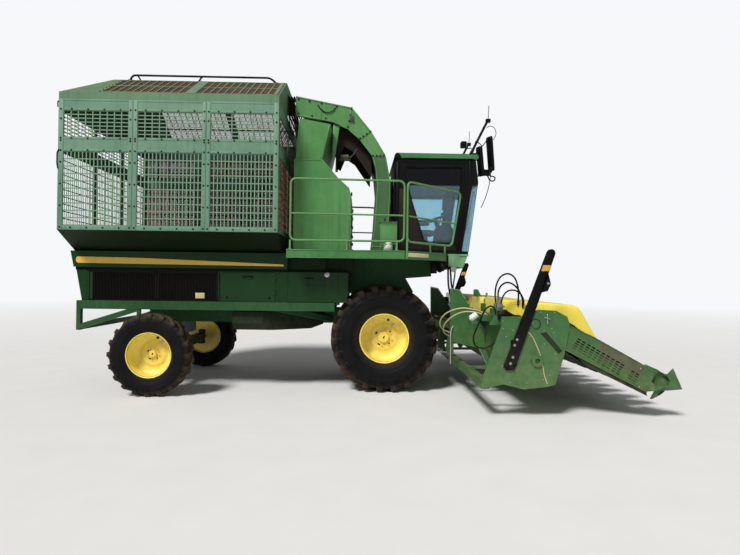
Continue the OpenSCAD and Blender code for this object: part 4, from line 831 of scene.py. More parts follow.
def lugMesh(v):
    w, r = v["width"], v["across"] / 2
    band = r - v["lugHeight"]
    bm = bmesh.new()
    rings = []
    drop = v["lugHeight"] / 44
    for y, base, top, grow in ((0.015, 8, 0, 1), (0.12, 8, 0.5, 1), (0.22, 10, 2, 1), (0.32, 20, 3, 1.08),
            (0.40, 34, 6, 1.2), (0.445, 60, 14, 1.3), (0.478, 116, 34, 1.34), (0.496, 150, 84, 1.3)):
        yy = w * y
        side = sin(min(1, y / 0.44) * pi / 2) * v["lead"]
        slope = cos(min(1, y / 0.44) * pi / 2) * v["lead"] * pi / 2 / (0.44 * w)
        wide = sqrt(1 + slope * slope) * grow
        low, high = band - base * drop, r - top * drop
        ring = []
        for c, rad in ((side - v["foot"] * wide, low), (side - v["crown"] * wide, high),
                (side + v["crown"] * wide, high), (side + v["foot"] * wide, low)):
            a = c / r
            ring.append(bm.verts.new((rad * sin(a) / 1000, yy / 1000, rad * cos(a) / 1000)))
        rings.append(ring)
    skin(bm, rings)
    bmesh.ops.recalc_face_normals(bm, faces=bm.faces)
    bmesh.ops.bevel(bm, geom=[e for e in bm.edges if e.calc_face_angle(0) > 0.6], offset=0.006, segments=1,
        affect="EDGES")
    mesh = bpy.data.meshes.new("lug")
    bm.to_mesh(mesh)
    bm.free()
    return mesh


def makeWheel(wheel):
    x, y, z = wheels[wheel][:3]
    kind = wheel.split("_")[0]
    body = kind + "_wheel_" + wheel.split("_")[1]
    side = -1 if y < 0 else 1
    v, r = tyres[kind], rims[kind]
    half = carcass(v)
    bm = bmesh.new()
    profile = [(a, b) for a, b in half[::-1]] + [(a, -b) for a, b in half[1:]]
    lathe(bm, profile + [profile[0]], (x, y, z), "y", 96)
    bmesh.ops.remove_doubles(bm, verts=bm.verts, dist=1e-5)
    lug = lugMesh(v)
    place = Matrix.Translation(at(x, y, z))
    for mirror, start in ((1, 0.0), (-1, 0.5)):
        ring = grow(wheelTree, {"Count": v["lugs"], "Start": start}, lug.copy(), "tyre_" + wheel)
        bring(bm, ring, place @ Matrix.Diagonal((1, mirror, 1, 1)))
    piece("tyre_" + wheel, bm, "tyre_" + wheel, body, smooth=40,
        replaces=(f"{kind}_tyre_{wheel.split('_')[1]}",))
    # rim with its lips, barrel and stepped disc
    f, h, lip, seat = r["face"], r["half"], r["lip"], r["seat"]
    outer = [(0, f - 44), (r["hub"] - 34, f - 44), (r["hub"] - 8, f - 41), (r["hub"], f - 33), (r["hub"] + 2, f - 4),
        (r["hub"] + 8, f), (r["flat"] - 8, f), (r["flat"] + 8, f + 3), (r["step"] - 10, f + 25),
        (r["step"] + 2, f + 28), (r["step"] + 20, f + 27), (seat - 46, f + 8), (seat - 20, f - 2), (seat - 12, f - 12),
        (seat - 12, -h + 62), (seat - 6, -h + 34), (seat + 6, -h + 5), (lip - 10, -h - 1), (lip - 4, -h - 3),
        (lip, -h + 1), (lip + 0.5, -h + 8), (lip - 2, -h + 12), (seat, -h + 14)]
    inner = [(seat, h - 14), (lip - 2, h - 12), (lip + 0.5, h - 8), (lip, h - 1), (lip - 4, h + 3), (lip - 10, h + 1),
        (seat + 6, h - 10), (seat - 10, h - 20), (seat - 14, f + 34), (r["step"], f + 46), (r["flat"] - 10, f + 20),
        (0, f + 20)]
    bm = bmesh.new()
    lathe(bm, [(a, b * -side) for a, b in outer + inner], (x, y, z), "y", 96)
    nut = bmesh.new()
    for sides, foot, top, tall, back in ((6, 1, 0.92, 0.020, 10), (10, 0.5, 0.45, 0.034, 16)):  # nut and stud
        stand = Matrix.Translation((0, (f - back) * -side / 1000, r["nutRing"] / 1000))
        bmesh.ops.create_cone(nut, cap_ends=True, segments=sides, radius1=r["nut"] * foot / 1000,
            radius2=r["nut"] * top / 1000, depth=tall, matrix=stand @ Matrix.Rotation(pi / 2 * side, 4, "X"))
    nutMesh = bpy.data.meshes.new("nut")
    nut.to_mesh(nutMesh)
    nut.free()
    bring(bm, grow(wheelTree, {"Count": r["nuts"], "Start": 0.3}, nutMesh, "rim_" + wheel), place)
    piece("rim_" + wheel, bm, "rim_" + wheel, body, smooth=32,
        replaces=(f"{kind}_rim_{wheel.split('_')[1]}",))
    # black plates as painted shade in the pockets between nuts, the hole in the disc and the hub's slot
    bm = bmesh.new()
    out = y + (f - 1) * -side

    def holeShadeSlot(angle, radius, long, wide, level):
        mid = Vector((x + radius * sin(angle), level, z + radius * cos(angle)))
        ring = []
        for k in range(16):
            a = 2 * pi * k / 16
            u = cos(a) * wide / 2 + (long - wide) / 2 * (1 if cos(a) > 0 else -1)
            w = sin(a) * wide / 2
            ring.append((mid.x + u * cos(angle) + w * sin(angle), mid.z - u * sin(angle) + w * cos(angle)))
        prism(bm, ring, level, level + 3 * side)
    for a in (-1.05, 0.95, 2.5, 3.7):
        holeShadeSlot(a, r["nutRing"], r["nut"] * 3.0, r["nut"] * 1.6, out)
    holeShadeSlot(0.25, (r["step"] + seat) / 2 - 18, 46, 46, y + (f + 8) * -side)
    holeShadeSlot(1.57 + 0.5, 0, r["hub"] * 0.55, 22, y + (f - 43.5) * -side)
    piece("rimSlots_" + wheel, bm, "seal", body, smooth=30)
    bm = bmesh.new()
    a = 0.62
    tag = (x + (r["step"] + 12) * sin(a), z + (r["step"] + 12) * cos(a))
    level = y + (f - 6) * -side
    box(bm, (tag[0] - 32, level, tag[1] - 14), (tag[0] + 32, level - 4 * side, tag[1] + 14))
    piece("rimTag_" + wheel, bm, "silver", body, smooth=30, bevel=1.5)


for wheel in wheels:
    makeWheel(wheel)
print("wheels: done")

# ---- basket
basket = {
    "rear": -5356, "front": -1795, "half": 1830, "low": 2714, "eave": 4840,
        "posts": ((0, 82), (1125, 145), (2320, 130), (3483, 78)),
    "rows": ((2790, 3985, 17, 10), (4220, 4650, 9, 7)), "proud": 6, "wire": 17, "boltStep": 352,
    "slopeLow": (-1830, 4951), "slopeHigh": (-900, 5490), "screens": ((-4690, -3330), (-3180, -1872)),
}


def basketBays():
    b = basket
    return [(b["rear"] + s + w, b["rear"] + e) for (s, w), (e, _) in zip(b["posts"], b["posts"][1:])]


def makeBasketFrame():
    b = basket
    y0 = -b["half"]
    y1 = y0 - b["proud"]
    bm = bmesh.new()
    spots = []
    levels = [z for z in range(b["low"] + 40, b["eave"] - 20, b["boltStep"])] + [4000, 4202, 4668]
    for start, wide in b["posts"]:
        x = b["rear"] + start
        parts = [(x, x + wide)] if wide < 100 else [(x, x + wide / 2 - 5), (x + wide / 2 + 5, x + wide)]
        for a, c in parts:
            box(bm, (a, y1, b["low"]), (c, y0 + 1, b["eave"] - 6))
            spots += [((a + c) / 2, y1, z) for z in levels]
    for a, c in basketBays():
        for low, high in ((b["low"], 2784), (3990, 4022), (4184, 4216), (4654, 4688), (4806, 4834)):
            box(bm, (a + 1, y1 + 2, low), (c - 1, y0 + 1, high))
            if high < 4800:
                count = 4
                spots += [(a + (c - a) * (k + 0.5) / count, y1 + 2, (low + high) / 2) for k in range(count)]
    mirrored(bm)
    piece("basketAngles", bm, "basket", "basket", bevel=1.5)
    both = [((x, y, z), (0, -1, 0)) for x, y, z in spots] + [((x, -y, z), (0, 1, 0)) for x, y, z in spots]
    bolts("basketBolts", both, "basket")
    # end walls: angles round their windows
    bm = bmesh.new()
    wide = 2 * b["half"] - 100
    spots = []
    for x, way in ((b["rear"], -1), (b["front"], 1)):
        for i in range(4):
            mid = -wide / 2 + 40 + i * (wide - 40) / 3 - 20
            box(bm, (x, mid - 34, b["low"]), (x + way * 5, mid + 34, b["eave"] - 6))
            spots += [((x + way * 5, mid, z), (way, 0, 0)) for z in levels[:-3]]
        for low, high in ((b["low"], 2784), (3990, 4214), (4654, 4834)):
            box(bm, (x, -wide / 2, low), (x + way * 3, wide / 2, high))
    piece("basketEndAngles", bm, "basket", "basket", bevel=1.5)
    bolts("basketEndBolts", spots, "basket")


def wires(width, height, columns, rows, wire, thick):  # values of one wire panel
    return {"Width": width / 1000, "Height": height / 1000, "Columns": columns, "Rows": rows, "Wire": wire / 1000,
        "Thick": thick / 1000}


def makeBasketWires():
    b = basket
    bm = bmesh.new()
    for low, high, columns, rows in b["rows"]:
        for a, c in basketBays():
            values = wires(c - a, high - low, columns, rows, b["wire"], 5)
            bring(bm, grow(gridTree, values, look="wire"), Matrix.Translation(at(a, -b["half"] + 10, low)))
            bring(bm, grow(gridTree, values, look="wire"), Matrix.Translation(at(a, b["half"] - 16, low)))
    piece("sideWires", bm, "wire", "basket", replaces=("basket_mesh",), smooth=30)
    for a, c in basketBays():  # finer rusty screen on the far side
        fine = bmesh.new()
        for low, high, columns, rows in b["rows"]:
            wire = 19 if a > b["rear"] + 400 else 16.5
            values = wires(c - a, high - low, int((c - a) / 25), int((high - low) / 25), wire, 4)
            bring(fine, grow(gridTree, values, look="rustMesh"), Matrix.Translation(at(a, b["half"] - 34, low)))
        piece(f"farScreen_{int(-a)}", fine, "rustMesh", "basket", smooth=30)
    wide = 2 * b["half"] - 100
    for name, x, look in (("rearWires", b["rear"] + 12, "wire"), ("frontWires", b["front"] - 14, "rustMesh")):
        bm = bmesh.new()
        for low, high, columns, rows in b["rows"]:
            for i in range(3):
                span = (wide - 40) / 3 - 80
                start = -wide / 2 + 80 + i * (wide - 40) / 3
                values = wires(span, high - low, columns, rows, b["wire"], 5)
                place = Matrix.Translation(at(x, start, low)) @ Matrix.Rotation(pi / 2, 4, "Z")
                bring(bm, grow(gridTree, values, look=look), place)
        piece(name, bm, look, "basket", smooth=30)


def slopeMatrix(x, up, out):  # stands a panel on the right slope of the hood
    b = basket
    rise = Vector((0, b["slopeHigh"][0] - b["slopeLow"][0], b["slopeHigh"][1] - b["slopeLow"][1])).normalized()
    normal = Vector((0, rise.z, -rise.y))
    place = Matrix((Vector((1, 0, 0)), normal, rise)).transposed().to_4x4()
    start = at(x, *b["slopeLow"]) + rise * up / 1000 - normal * out / 1000
    return Matrix.Translation(start) @ place


def makeHoodScreens():
    b = basket
    long = dist(b["slopeLow"], b["slopeHigh"]) - 90
    for side, body, node in ((1, "basket", "hood_screen"), (-1, "lid", "basket_lid")):
        flip = Matrix.Diagonal((1, side, 1, 1))
        bm = bmesh.new()
        for a, c in b["screens"]:
            values = wires(c - a, long, 44, 34, 9, 4)
            bring(bm, grow(gridTree, values, look="rustMesh"), flip @ slopeMatrix(a, 45, -6))
        piece(node + "Mesh", bm, "rustMesh", body, replaces=(node,), smooth=30)
        bm = bmesh.new()
        for a, c in b["screens"]:
            values = {"Count": 12, "Pitch": (c - a) / 11 / 1000, "Size": (0.020, 0.012, long / 1000)}
            bring(bm, grow(rowTree, values, look="basket"), flip @ slopeMatrix(a, 45 + long / 2, 2))
            for up in (0, long / 2, long):
                row = {"Count": 1, "Pitch": 0.1, "Size": ((c - a) / 1000, 0.010, 0.034)}
                bring(bm, grow(rowTree, row, look="basket"), flip @ slopeMatrix((a + c) / 2, 45 + up, 1))
        middle = (b["screens"][0][1] + b["screens"][1][0]) / 2
        for x, wide in ((middle, 140), (b["screens"][1][1] + 8, 60)):
            row = {"Count": 1, "Pitch": 0.1, "Size": (wide / 1000, 0.012, long / 1000 + 0.03)}
            bring(bm, grow(rowTree, row, look="basket"), flip @ slopeMatrix(x, 45 + long / 2, 4))
        piece(node + "Bars", bm, "basket", body, smooth=30)
    spots = []
    b0, b1 = Vector(b["slopeLow"]), Vector(b["slopeHigh"])
    normal = Vector((b0.y - b1.y, b1.x - b0.x)).normalized()
    for k in range(8):
        p = b0.lerp(b1, 0.06 + k * 0.126)
        for x in (-1828, -4722):
            spots.append(((x, p.x + normal.x * 3, p.y + normal.y * 3), (0, normal.x, normal.y)))
            spots.append(((x, -p.x - normal.x * 3, p.y + normal.y * 3), (0, -normal.x, normal.y)))
    bolts("hoodBolts", spots, "basket", radius=9, washer=13)


makeBasketFrame()
makeBasketWires()
makeHoodScreens()
print("basket: done")
# ---- cab, duct and what stands on the platform
cab = {
    "half": 880,
    "window": [(352, 4018), (1400, 4024), (1398, 3880), (1236, 2646), (742, 2664), (700, 2704), (342, 3880)],
    "panel": [(250, 2520), (1300, 2520), (1236, 2646), (742, 2664), (700, 2704), (420, 3620), (250, 3620)],
}


def makeCab():
    c = cab
    y = -c["half"]
    for side, where, body in ((1, "right", "chassis"), (-1, "left", "cab_entry")):  # the left ones swing with the door
        bm = bmesh.new()
        for out, wide in ((12, 16), (-14, 8)):
            ring = [(x - (out if x < 700 else -out), z + (out if z > 3300 else -out)) for x, z in c["window"]]
            path = [(p[0], (y - 4) * side, p[1]) for p in rounded(ring, [110, 110, 60, 90, 60, 60, 60], 6)]
            sweep(bm, path, [(-wide / 2, -5), (wide / 2, -5), (wide / 2, 4), (0, 7), (-wide / 2, 4)], True,
                (0, -side, 0))
        piece("windowSeals_" + where, bm, "seal", body, smooth=45)
        bm = bmesh.new()
        tube(bm, [(a, (y - 3) * side, b) for a, b in rounded([(1316, 2500), (1440, 3700), (1436, 4100), (300, 4100)],
            70, 5, False)], 5, 8)
        piece("doorLine_" + where, bm, "seal", body, smooth=45)
        bm = bmesh.new()
        prism(bm, c["panel"], (y - 3) * side, (y + 1) * side)
        piece("cabLowerPanel_" + where, bm, "brown", body, bevel=1.5)
    bm = bmesh.new()  # pillar covers, and rear post with its round corner
    for side in (1, -1):
        for path, wide in (([(1372, 2500), (1556, 3758), (1540, 4150)], 64), ([(226, 2500), (226, 4100)], 62)):
            sweep(bm, [(a, (y - 2) * side, b) for a, b in rounded(path, 60, 4, False)],
                [(-wide / 2, -6), (wide / 2, -6), (wide / 2, 5), (wide / 2 - 8, 10), (-wide / 2 + 8, 10),
                (-wide / 2, 5)], False, (0, -side, 0))
        tube(bm, [(a, y * side * 0.97, b) for a, b in rounded([(172, 2900), (168, 3860), (196, 4120), (330, 4230)],
            140, 6, False)], 19, 12)
    box(bm, (196, -c["half"] - 6, 4118), (1600, c["half"] + 6, 4171))
    piece("cabTrims", bm, "cab", bevel=3)
    bm = bmesh.new()  # roof with a round front edge, pale top
    roof = rounded([(178, 4172), (1682, 4172), (1690, 4246), (1640, 4267), (210, 4267), (166, 4236)],
        [6, 14, 34, 50, 60, 26], 6)
    prism(bm, roof, -909, 909)
    prism(bm, rounded([(320, 4266), (1520, 4266), (1460, 4267.5), (380, 4267.5)], 1, 2), -760, 760)
    piece("roofShell", bm, "roof", "chassis", bevel=14, rounds=3, replaces=("cab_roof",))
    bm = bmesh.new()
    prism(bm, rounded([(163, 4170), (300, 4170), (236, 4262), (214, 4269), (200, 4269), (163, 4238)],
        [4, 30, 20, 14, 20, 26], 4), -911, 911)
    for side in (-1, 1):
        box(bm, (300, side * 912, 4170), (1600, side * 902, 4181))
    piece("roofEdge", bm, "cab", bevel=3)
    bm = bmesh.new()  # tapered box under the windscreen with its lipped top
    prism(bm, rounded([(1164, 2222), (1432, 2202), (1522, 2449), (1164, 2449)], [18, 30, 6, 6], 5), -888, 888)
    box(bm, (1150, -890, 2412), (1527, 890, 2449))
    piece("skirtBox", bm, "skirt", "chassis", bevel=7, rounds=3, replaces=("cab_skirt",))
    bm = bmesh.new()
    for side in (-1, 1):
        box(bm, (1362, side * 891, 2396), (1490, side * 886, 2408))
    box(bm, (1120, -870, 2196), (1430, 870, 2212))
    box(bm, (1096, -860, 2230), (1160, 860, 2440))
    piece("skirtSlots", bm, "black", smooth=30, bevel=1)
    bm = bmesh.new()  # wiper, with its arm and blade in front of the windscreen
    tube(bm, [(1534, -90, 2560), (1600, -300, 3010), (1650, -420, 3380)], 8, 8)
    strip(bm, [(1624, -380, 3150), (1690, -470, 3640)], 16, 12, (1, 0, 0.1))
    box(bm, (1520, -130, 2520), (1560, -50, 2600))
    piece("wiper", bm, "black", bevel=1.5)


cushions = {
    "seatBase": {"size": (500, 510, 110), "place": (760, -5, 2890), "cells": 12},
    "seatBack": {"size": (110, 440, 640), "place": (55, -5, 320), "cells": 12, "hinge": (500, 0, 2955), "lean": -8},
}


def makeCushion(name):  # a stuffed block with round sides and two sunken seams
    v = cushions[name]
    wide, deep, tall = v["size"]
    n = v["cells"]
    lies = "lean" not in v
    bm = bmesh.new()
    verts = {}
    for key in ((i, j, k) for i in range(n + 1) for j in range(n + 1) for k in range(n + 1)):
        if 0 in key or n in key:
            q = Vector(tuple(copysign(abs(c / n * 2 - 1) ** 0.92, c / n * 2 - 1) for c in key))
            q = q / sum(abs(c) ** 6 for c in q) ** (1 / 6)
            dent = 1 - 0.10 * max(0, 1 - abs(abs(q.y) - 0.55) * 14)
            q = Vector((q.x * wide / 2 * (1 if lies else dent), q.y * deep / 2, q.z * tall / 2 * (dent if lies else 1)))
            q += Vector(v["place"])
            if not lies:
                q = Matrix.Rotation(radians(v["lean"]), 3, "Y") @ q + Vector(v["hinge"])
            verts[key] = bm.verts.new(at(*q))
    for i in range(n):
        for j in range(n):
            for end in (0, n):
                for key in (lambda u, v, w: (w, u, v), lambda u, v, w: (u, w, v), lambda u, v, w: (u, v, w)):
                    bm.faces.new([verts[key(u, v, end)] for u, v in ((i, j), (i + 1, j), (i + 1, j + 1), (i, j + 1))])
    made = piece(name, bm, "cloth", "chassis", smooth=60, replaces=("seat",) if lies else ())


def makeInside():  # seat with armrests, console, and the wheel's column
    for name in cushions:
        makeCushion(name)
    bm = bmesh.new()
    prism(bm, rounded([(560, 2502), (960, 2502), (900, 2620), (860, 2820), (640, 2820), (600, 2620)], 30, 3), -160, 150)
    for y in (-330, 290):
        prism(bm, rounded([(600, 3060), (960, 3080), (960, 3130), (600, 3120)], 20, 4), y, y + 60)
        box(bm, (560, y + 10, 2830), (600, y + 50, 3110))
    prism(bm, rounded([(900, 2502), (1290, 2502), (1270, 2880), (1180, 3010), (960, 2960)], [8, 30, 60, 60, 40], 5),
        -820, -480)
    for x, lean in ((1010, 60), (1090, 40), (1160, 80)):
        tube(bm, [(x, -620, 2960), (x + lean, -620, 3190)], 9, 8)
        lathe(bm, [(0, 0), (16, 6), (22, 24), (16, 44), (0, 50)], (x + lean, -620, 3180), "z", 12)
    prism(bm, rounded([(1080, 3280), (1130, 3280), (1150, 3560), (1090, 3570)], 14, 4), -720, -560)
    box(bm, (1130, -680, 3120), (1160, -640, 3300))
    piece("console", bm, "plastic", bevel=5)
    bm = bmesh.new()
    turn = Matrix.Rotation(radians(-20), 3, "Y")
    foot = Vector((1270, 0, 2518))

    def onColumn(p):
        return foot + turn @ Vector(p)
    ring = [onColumn((190 * cos(a), 190 * sin(a), 700)) for a in (k * pi / 24 for k in range(48))]
    tube(bm, ring, 14, 10, True)
    tube(bm, [onColumn((0, 0, z)) for z in (0, 80, 300, 680)], 44, 16)
    for a in (0.5, 2.6, 4.7):
        tube(bm, [onColumn((0, 0, 690)), onColumn((185 * cos(a), 185 * sin(a), 698))], 9, 8)
    lathe(bm, [(0, 0), (70, 0), (66, 30), (46, 44), (0, 46)], (1270, 0, 2502), "z", 24)
    piece("steering", bm, "plastic", smooth=45, replaces=("steering_column",))


rings = {
    "tube": 18, "corner": 100, "floor": 2451,
    "rear": [(-1602, 2440), (-1602, 3628), (284, 3606), (284, 2600)],
}


def makeRails():
    r = rings
    y = -1720
    bm = bmesh.new()
    for side in (1, -1):
        front = 284 if side > 0 else -80
        loop = [(-1602, side * y, 2606), (-1602, side * y, 3626), (front, side * y, 3608), (front, side * y, 2604)]
        tube(bm, rounded(loop, r["corner"], 7), r["tube"], 12, True)
        tube(bm, [(-1602, side * y, 3050), (front, side * y, 3034)], r["tube"] * 0.8, 10)
        for x in (-1602, front - r["corner"] - 20, -660):
            tube(bm, [(x, side * y, 2610), (x, side * y, 2452)], r["tube"] * 0.95, 10)
            lathe(bm, [(0, 0), (44, 0), (44, 7), (24, 10), (r["tube"], 22), (0, 22)], (x, side * y, r["floor"]), "z",
                16)
    tube(bm, rounded([(-640, y + 24, 2452), (-640, y + 24, 2602), (-540, y + 24, 2606)], 90, 6, False), 15, 10)
    # slanted ring that follows the tapered edge of the platform
    near, far = Vector((338, -1706)), Vector((1036, -1122))
    along = (far - near).normalized()

    def onEdge(s, z):
        p = near + along * s
        return (p.x, p.y, z)
    long = (far - near).length
    loop = [onEdge(0, 2600), onEdge(0, 3604), (1338, -1104, 3524), (1184, -1104, 2578)]
    tube(bm, rounded(loop, r["corner"], 7), r["tube"], 12, True)
    tube(bm, [onEdge(0, 3030), (1254, -1104, 2975)], r["tube"] * 0.8, 10)
    tube(bm, [onEdge(0, 2640), onEdge(0, 2320)], r["tube"], 10)
    tube(bm, [onEdge(long * 0.62, 2596), onEdge(long * 0.62, 2452)], r["tube"] * 0.9, 10)
    tube(bm, [(1060, -1112, 2582), (1060, -1112, 2440)], r["tube"] * 0.9, 10)
    for x in (-1400, -1000, -300, 100):  # collars of the joints
        lathe(bm, [(17, -14), (21, -14), (21, 14), (17, 14)], (x, y, 3617 - (x + 700) * 0.009), "x", 14)
    piece("railRings", bm, "rail", "chassis", smooth=50, replaces=("handrails",))


def makePlatform():
    bm = bmesh.new()
    edge = [(-1661, -1750), (285, -1751), (1090, -1091)]
    for side in (1, -1):
        for a, b in zip(edge, edge[1:]):
            p, q = Vector(a), Vector(b)
            n = Vector(((q - p).y, -(q - p).x)).normalized() * 7
            for low, high in ((2434, 2452), (2310, 2322)):
                prism(bm, [(v.x, v.y * side) for v in (p, q, q + n, p + n)], low, high, "xy")
    piece("platformLips", bm, "platform", "chassis", bevel=2)
    bm = bmesh.new()  # reflecting strip on the tapered edge
    p, q = Vector((330, -1717)), Vector((735, -1385))
    n = Vector(((q - p).y, -(q - p).x)).normalized()
    for side in (1, -1):
        quad = [p + n * 2, q + n * 2, q + n * 4.5, p + n * 4.5]
        prism(bm, [(v.x, v.y * side) for v in quad], 2352, 2420, "xy")
    piece("edgeStrips", bm, "creamStrip", "chassis", smooth=30, bevel=0.6)
    spots = []
    for x in range(-1600, 280, 235):
        spots += [((x, side * 1751, 2345), (0, side, 0)) for side in (-1, 1)]
    bolts("platformBolts", spots, "chassis", look="platform", radius=9, head=7, washer=14)
    # cabinet on legs beside the duct, with a jug in its frame
    bm = bmesh.new()
    box(bm, (-111, -1620, 2614), (173, -1380, 2930))
    box(bm, (-122, -1630, 2928), (184, -1370, 2942))
    for x in (-104, 150):
        for y in (-1616, -1400):
            box(bm, (x, y, 2452), (x + 16, y + 16, 2620))
    box(bm, (-104, -1616, 2560), (166, -1600, 2576))
    piece("cabinet", bm, "duct", "chassis", bevel=3)
    bm = bmesh.new()
    lathe(bm, [(0, 0), (70, 0), (77, 10), (77, 110), (70, 140), (44, 156), (26, 160), (26, 172), (0, 172)],
        (31, -1540, 2453), "z", 32)
    piece("jug", bm, "white", "chassis", smooth=50)
    bm = bmesh.new()
    box(bm, (-40, -1580, 2942), (-20, -1560, 3000))
    lathe(bm, [(0, 0), (22, 0), (22, 12), (10, 16), (10, 60), (0, 62)], (90, -1480, 2942), "z", 18)
    piece("cabinetTops", bm, "seal", bevel=2)
    # reflecting disc, round lamp and rod on the strut
    for side in (1, -1):
        bm = bmesh.new()
        lathe(bm, [(0, 0), (58, 2), (64, -10), (60, -44), (30, -66), (0, -68)][::-1], (1035, side * -1170, 2190), "x",
            28)
        tube(bm, [(990, side * -1170, 2230), (960, side * -1170, 2330)], 14, 10)
        piece("headLampShell_" + sideName(side), bm, "black", smooth=40)
        bm = bmesh.new()
        lathe(bm, [(0, 9), (30, 7), (54, 1), (54, -4), (0, -4)], (1036, side * -1170, 2190), "x", 28)
        piece("headLampLens_" + sideName(side), bm, "lamp", "chassis", smooth=50,
            replaces=("lamps",) if side > 0 else ())


def makeDuct():
    half = 750  # from the middle to the duct's side
    line = [(-1650, 5310), (-627, 5116), (-270, 4688), (-6, 4257)]
    joints = (((-627, 5116), (-700, 4722)), ((-270, 4688), (-485, 4541)), ((-6, 4246), (-243, 4240)))
    bm = bmesh.new()
    for side in (-1, 1):  # flanged joints between the facets, with bolts
        y = side * half
        for a, b in joints:
            wallStrip(bm, y + side * 5, (a, b), 34, 11)
        for a, b in zip(line, line[1:]):
            wallStrip(bm, y + side * 4, [(u, w - 12) for u, w in (a, b)], 24, 8)
        wallStrip(bm, y + side * 4, [(-1640, 4960), (-975, 4858), (-840, 4798)], 26, 8)
        wallStrip(bm, y + side * 4, [(-1180, 5205), (-1180, 4885)], 16, 8)
    for (a, b) in ((line[1], 5128), (line[2], 4700)):
        box(bm, (a[0] - 14, -half, a[1] - 10), (a[0] + 14, half, a[1] + 16))
    piece("hoodFlanges", bm, "duct", "chassis", bevel=2)
    spots = []
    for side in (-1, 1):
        y = side * (half + 11)
        for a, b in joints:
            for t in (0.08, 0.36, 0.64, 0.92):
                spots.append(((a[0] + (b[0] - a[0]) * t, y, a[1] + (b[1] - a[1]) * t), (0, side, 0)))
        for x, z in ((-1600, 5250), (-1400, 5215), (-1180, 5180), (-900, 5130), (-1600, 4990), (-1350, 4950),
                (-1100, 4905)):
            spots.append(((x, side * (half + 8), z), (0, side, 0)))
    bolts("hoodBolts_duct", spots, "chassis", look="bolt", radius=12, head=10, washer=18)
    bm = bmesh.new()  # painted shade below the hood: dark side flaps that hang inside the open channel
    for side in (-1, 1):
        prism(bm, [(-946, 4800), (-946, 4260), (-863, 4200), (-760, 4450), (-572, 4330), (-430, 4130), (-275, 3900),
            (-248, 3880), (-250, 4260), (-500, 4540), (-700, 4720)], side * 560, side * 552)
    prism(bm, [(-270, 3890), (-256, 3890), (-256, 4250), (-490, 4560), (-700, 4700), (-700, 4685), (-500, 4545),
        (-270, 4240)], -552, 552)
    piece("hoodLining", bm, "lining", smooth=30, bevel=1)
    bm = bmesh.new()
    for side in (-1, 1):
        prism(bm, [(-964, 4812), (-842, 4784), (-925, 4212), (-977, 4210)], side * 700, side * 714)
        wallStrip(bm, side * 745, [(-905, 4870), (-800, 5010), (-600, 5040)], 40, 8)
    piece("hoodPosts", bm, "duct", "chassis", bevel=2)
    bm = bmesh.new()  # small motor and its bracket under the hood
    lathe(bm, [(0, -90), (44, -90), (52, -80), (52, 60), (40, 76), (18, 80), (18, 110), (0, 110)], (-742, -560, 4238),
        "x", 24)
    box(bm, (-860, -600, 4180), (-640, -520, 4200))
    tube(bm, [(-640, -560, 4240), (-560, -560, 4330), (-520, -560, 4400)], 12, 8)
    box(bm, (-662, -790, 4862), (-590, -752, 4960))
    piece("hoodMotor", bm, "engine", "chassis", bevel=3)
    bm = bmesh.new()  # ribbed flexible seal between hood and basket
    for k in range(7):
        z = 4960 + k * 46
        for side in (-1, 1):
            tube(bm, [(-1660 - k % 2 * 4, side * 746, z), (-1780, side * 746, z + 6)], 17, 8)
    for k in range(3):
        x = -1680 - k * 45
        path = rounded([(x, -745, 4950), (x, -745, 5296), (x, 745, 5296), (x, 745, 4950)], 40, 4)
        tube(bm, path, 16, 8, True)
    piece("flexibleSeal", bm, "seal", smooth=60)


# bars on the cleaner's sides: distance from the middle, width, thickness, path in x and z
cleanerBars = (
    (1204, 26, 8, [(-1612, 4052), (-1122, 4046)]),
    (1203, 16, 6, [(-1612, 3732), (-846, 3722)]),
    (1203, 22, 6, [(-1122, 4046), (-845, 3724), (-648, 3552)]),
    (1202, 10, 5, [(-819, 3580), (-819, 2460)]),
    (1203, 24, 6, [(-1598, 3730), (-1598, 2460)]),
    (1203, 22, 6, [(-632, 3380), (-648, 2460)]),
    (1184, 20, 6, [(-1578, 4070), (-1526, 4762)]),
    (1184, 20, 6, [(-1146, 4066), (-1004, 4668)]),
)


def makeCleaner():
    bm = bmesh.new()
    for side in (-1, 1):
        for far, wide, thick, path in cleanerBars:
            wallStrip(bm, side * far, path, wide, thick)
    piece("cleanerEdges", bm, "duct", "chassis", bevel=1.5)
    bm = bmesh.new()  # black seals and catches along the front edge
    for z in (3430, 3250, 3060, 2860, 2700, 2560):
        for side in (-1, 1):
            box(bm, (-616, side * 1192, z), (-590, side * 1130, z + 62))
    box(bm, (-1618, -1196, 3080), (-1600, -1150, 3240))
    box(bm, (-606, -1180, 2900), (-596, -1100, 3380))
    piece("cleanerSeals", bm, "seal", bevel=3)
    spots = []
    for side in (-1, 1):
        for z in range(2520, 3380, 120):
            spots.append(((-632 - (3380 - z) * 0.017, side * 1207, z), (0, side, 0)))
        for x in range(-1580, -860, 120):
            spots.append(((x, side * 1208, 4050 if x < -1130 else 3724), (0, side, 0)))
    bolts("cleanerBolts", spots, "chassis", look="duct", radius=8, head=6, washer=12)
    bm = bmesh.new()  # seams of the upright duct
    for side in (-1, 1):
        for path in ([(-242, 2452), (-186, 2949), (-169, 3260), (-143, 3675), (-178, 4006), (-243, 4235)],
                [(70, 2452), (82, 3057), (98, 3471), (98, 3782), (60, 3989), (12, 4235)]):
            shift = 12 if path[0][0] < 0 else -12
            strip(bm, [(a + shift, side * 753, b) for a, b in path], 22, 6, (0, side, 0))
        box(bm, (-235, side * 757 - 3, 2560), (76, side * 757 + 3, 2586))
    piece("ductEdges", bm, "duct", "chassis", bevel=1.5)


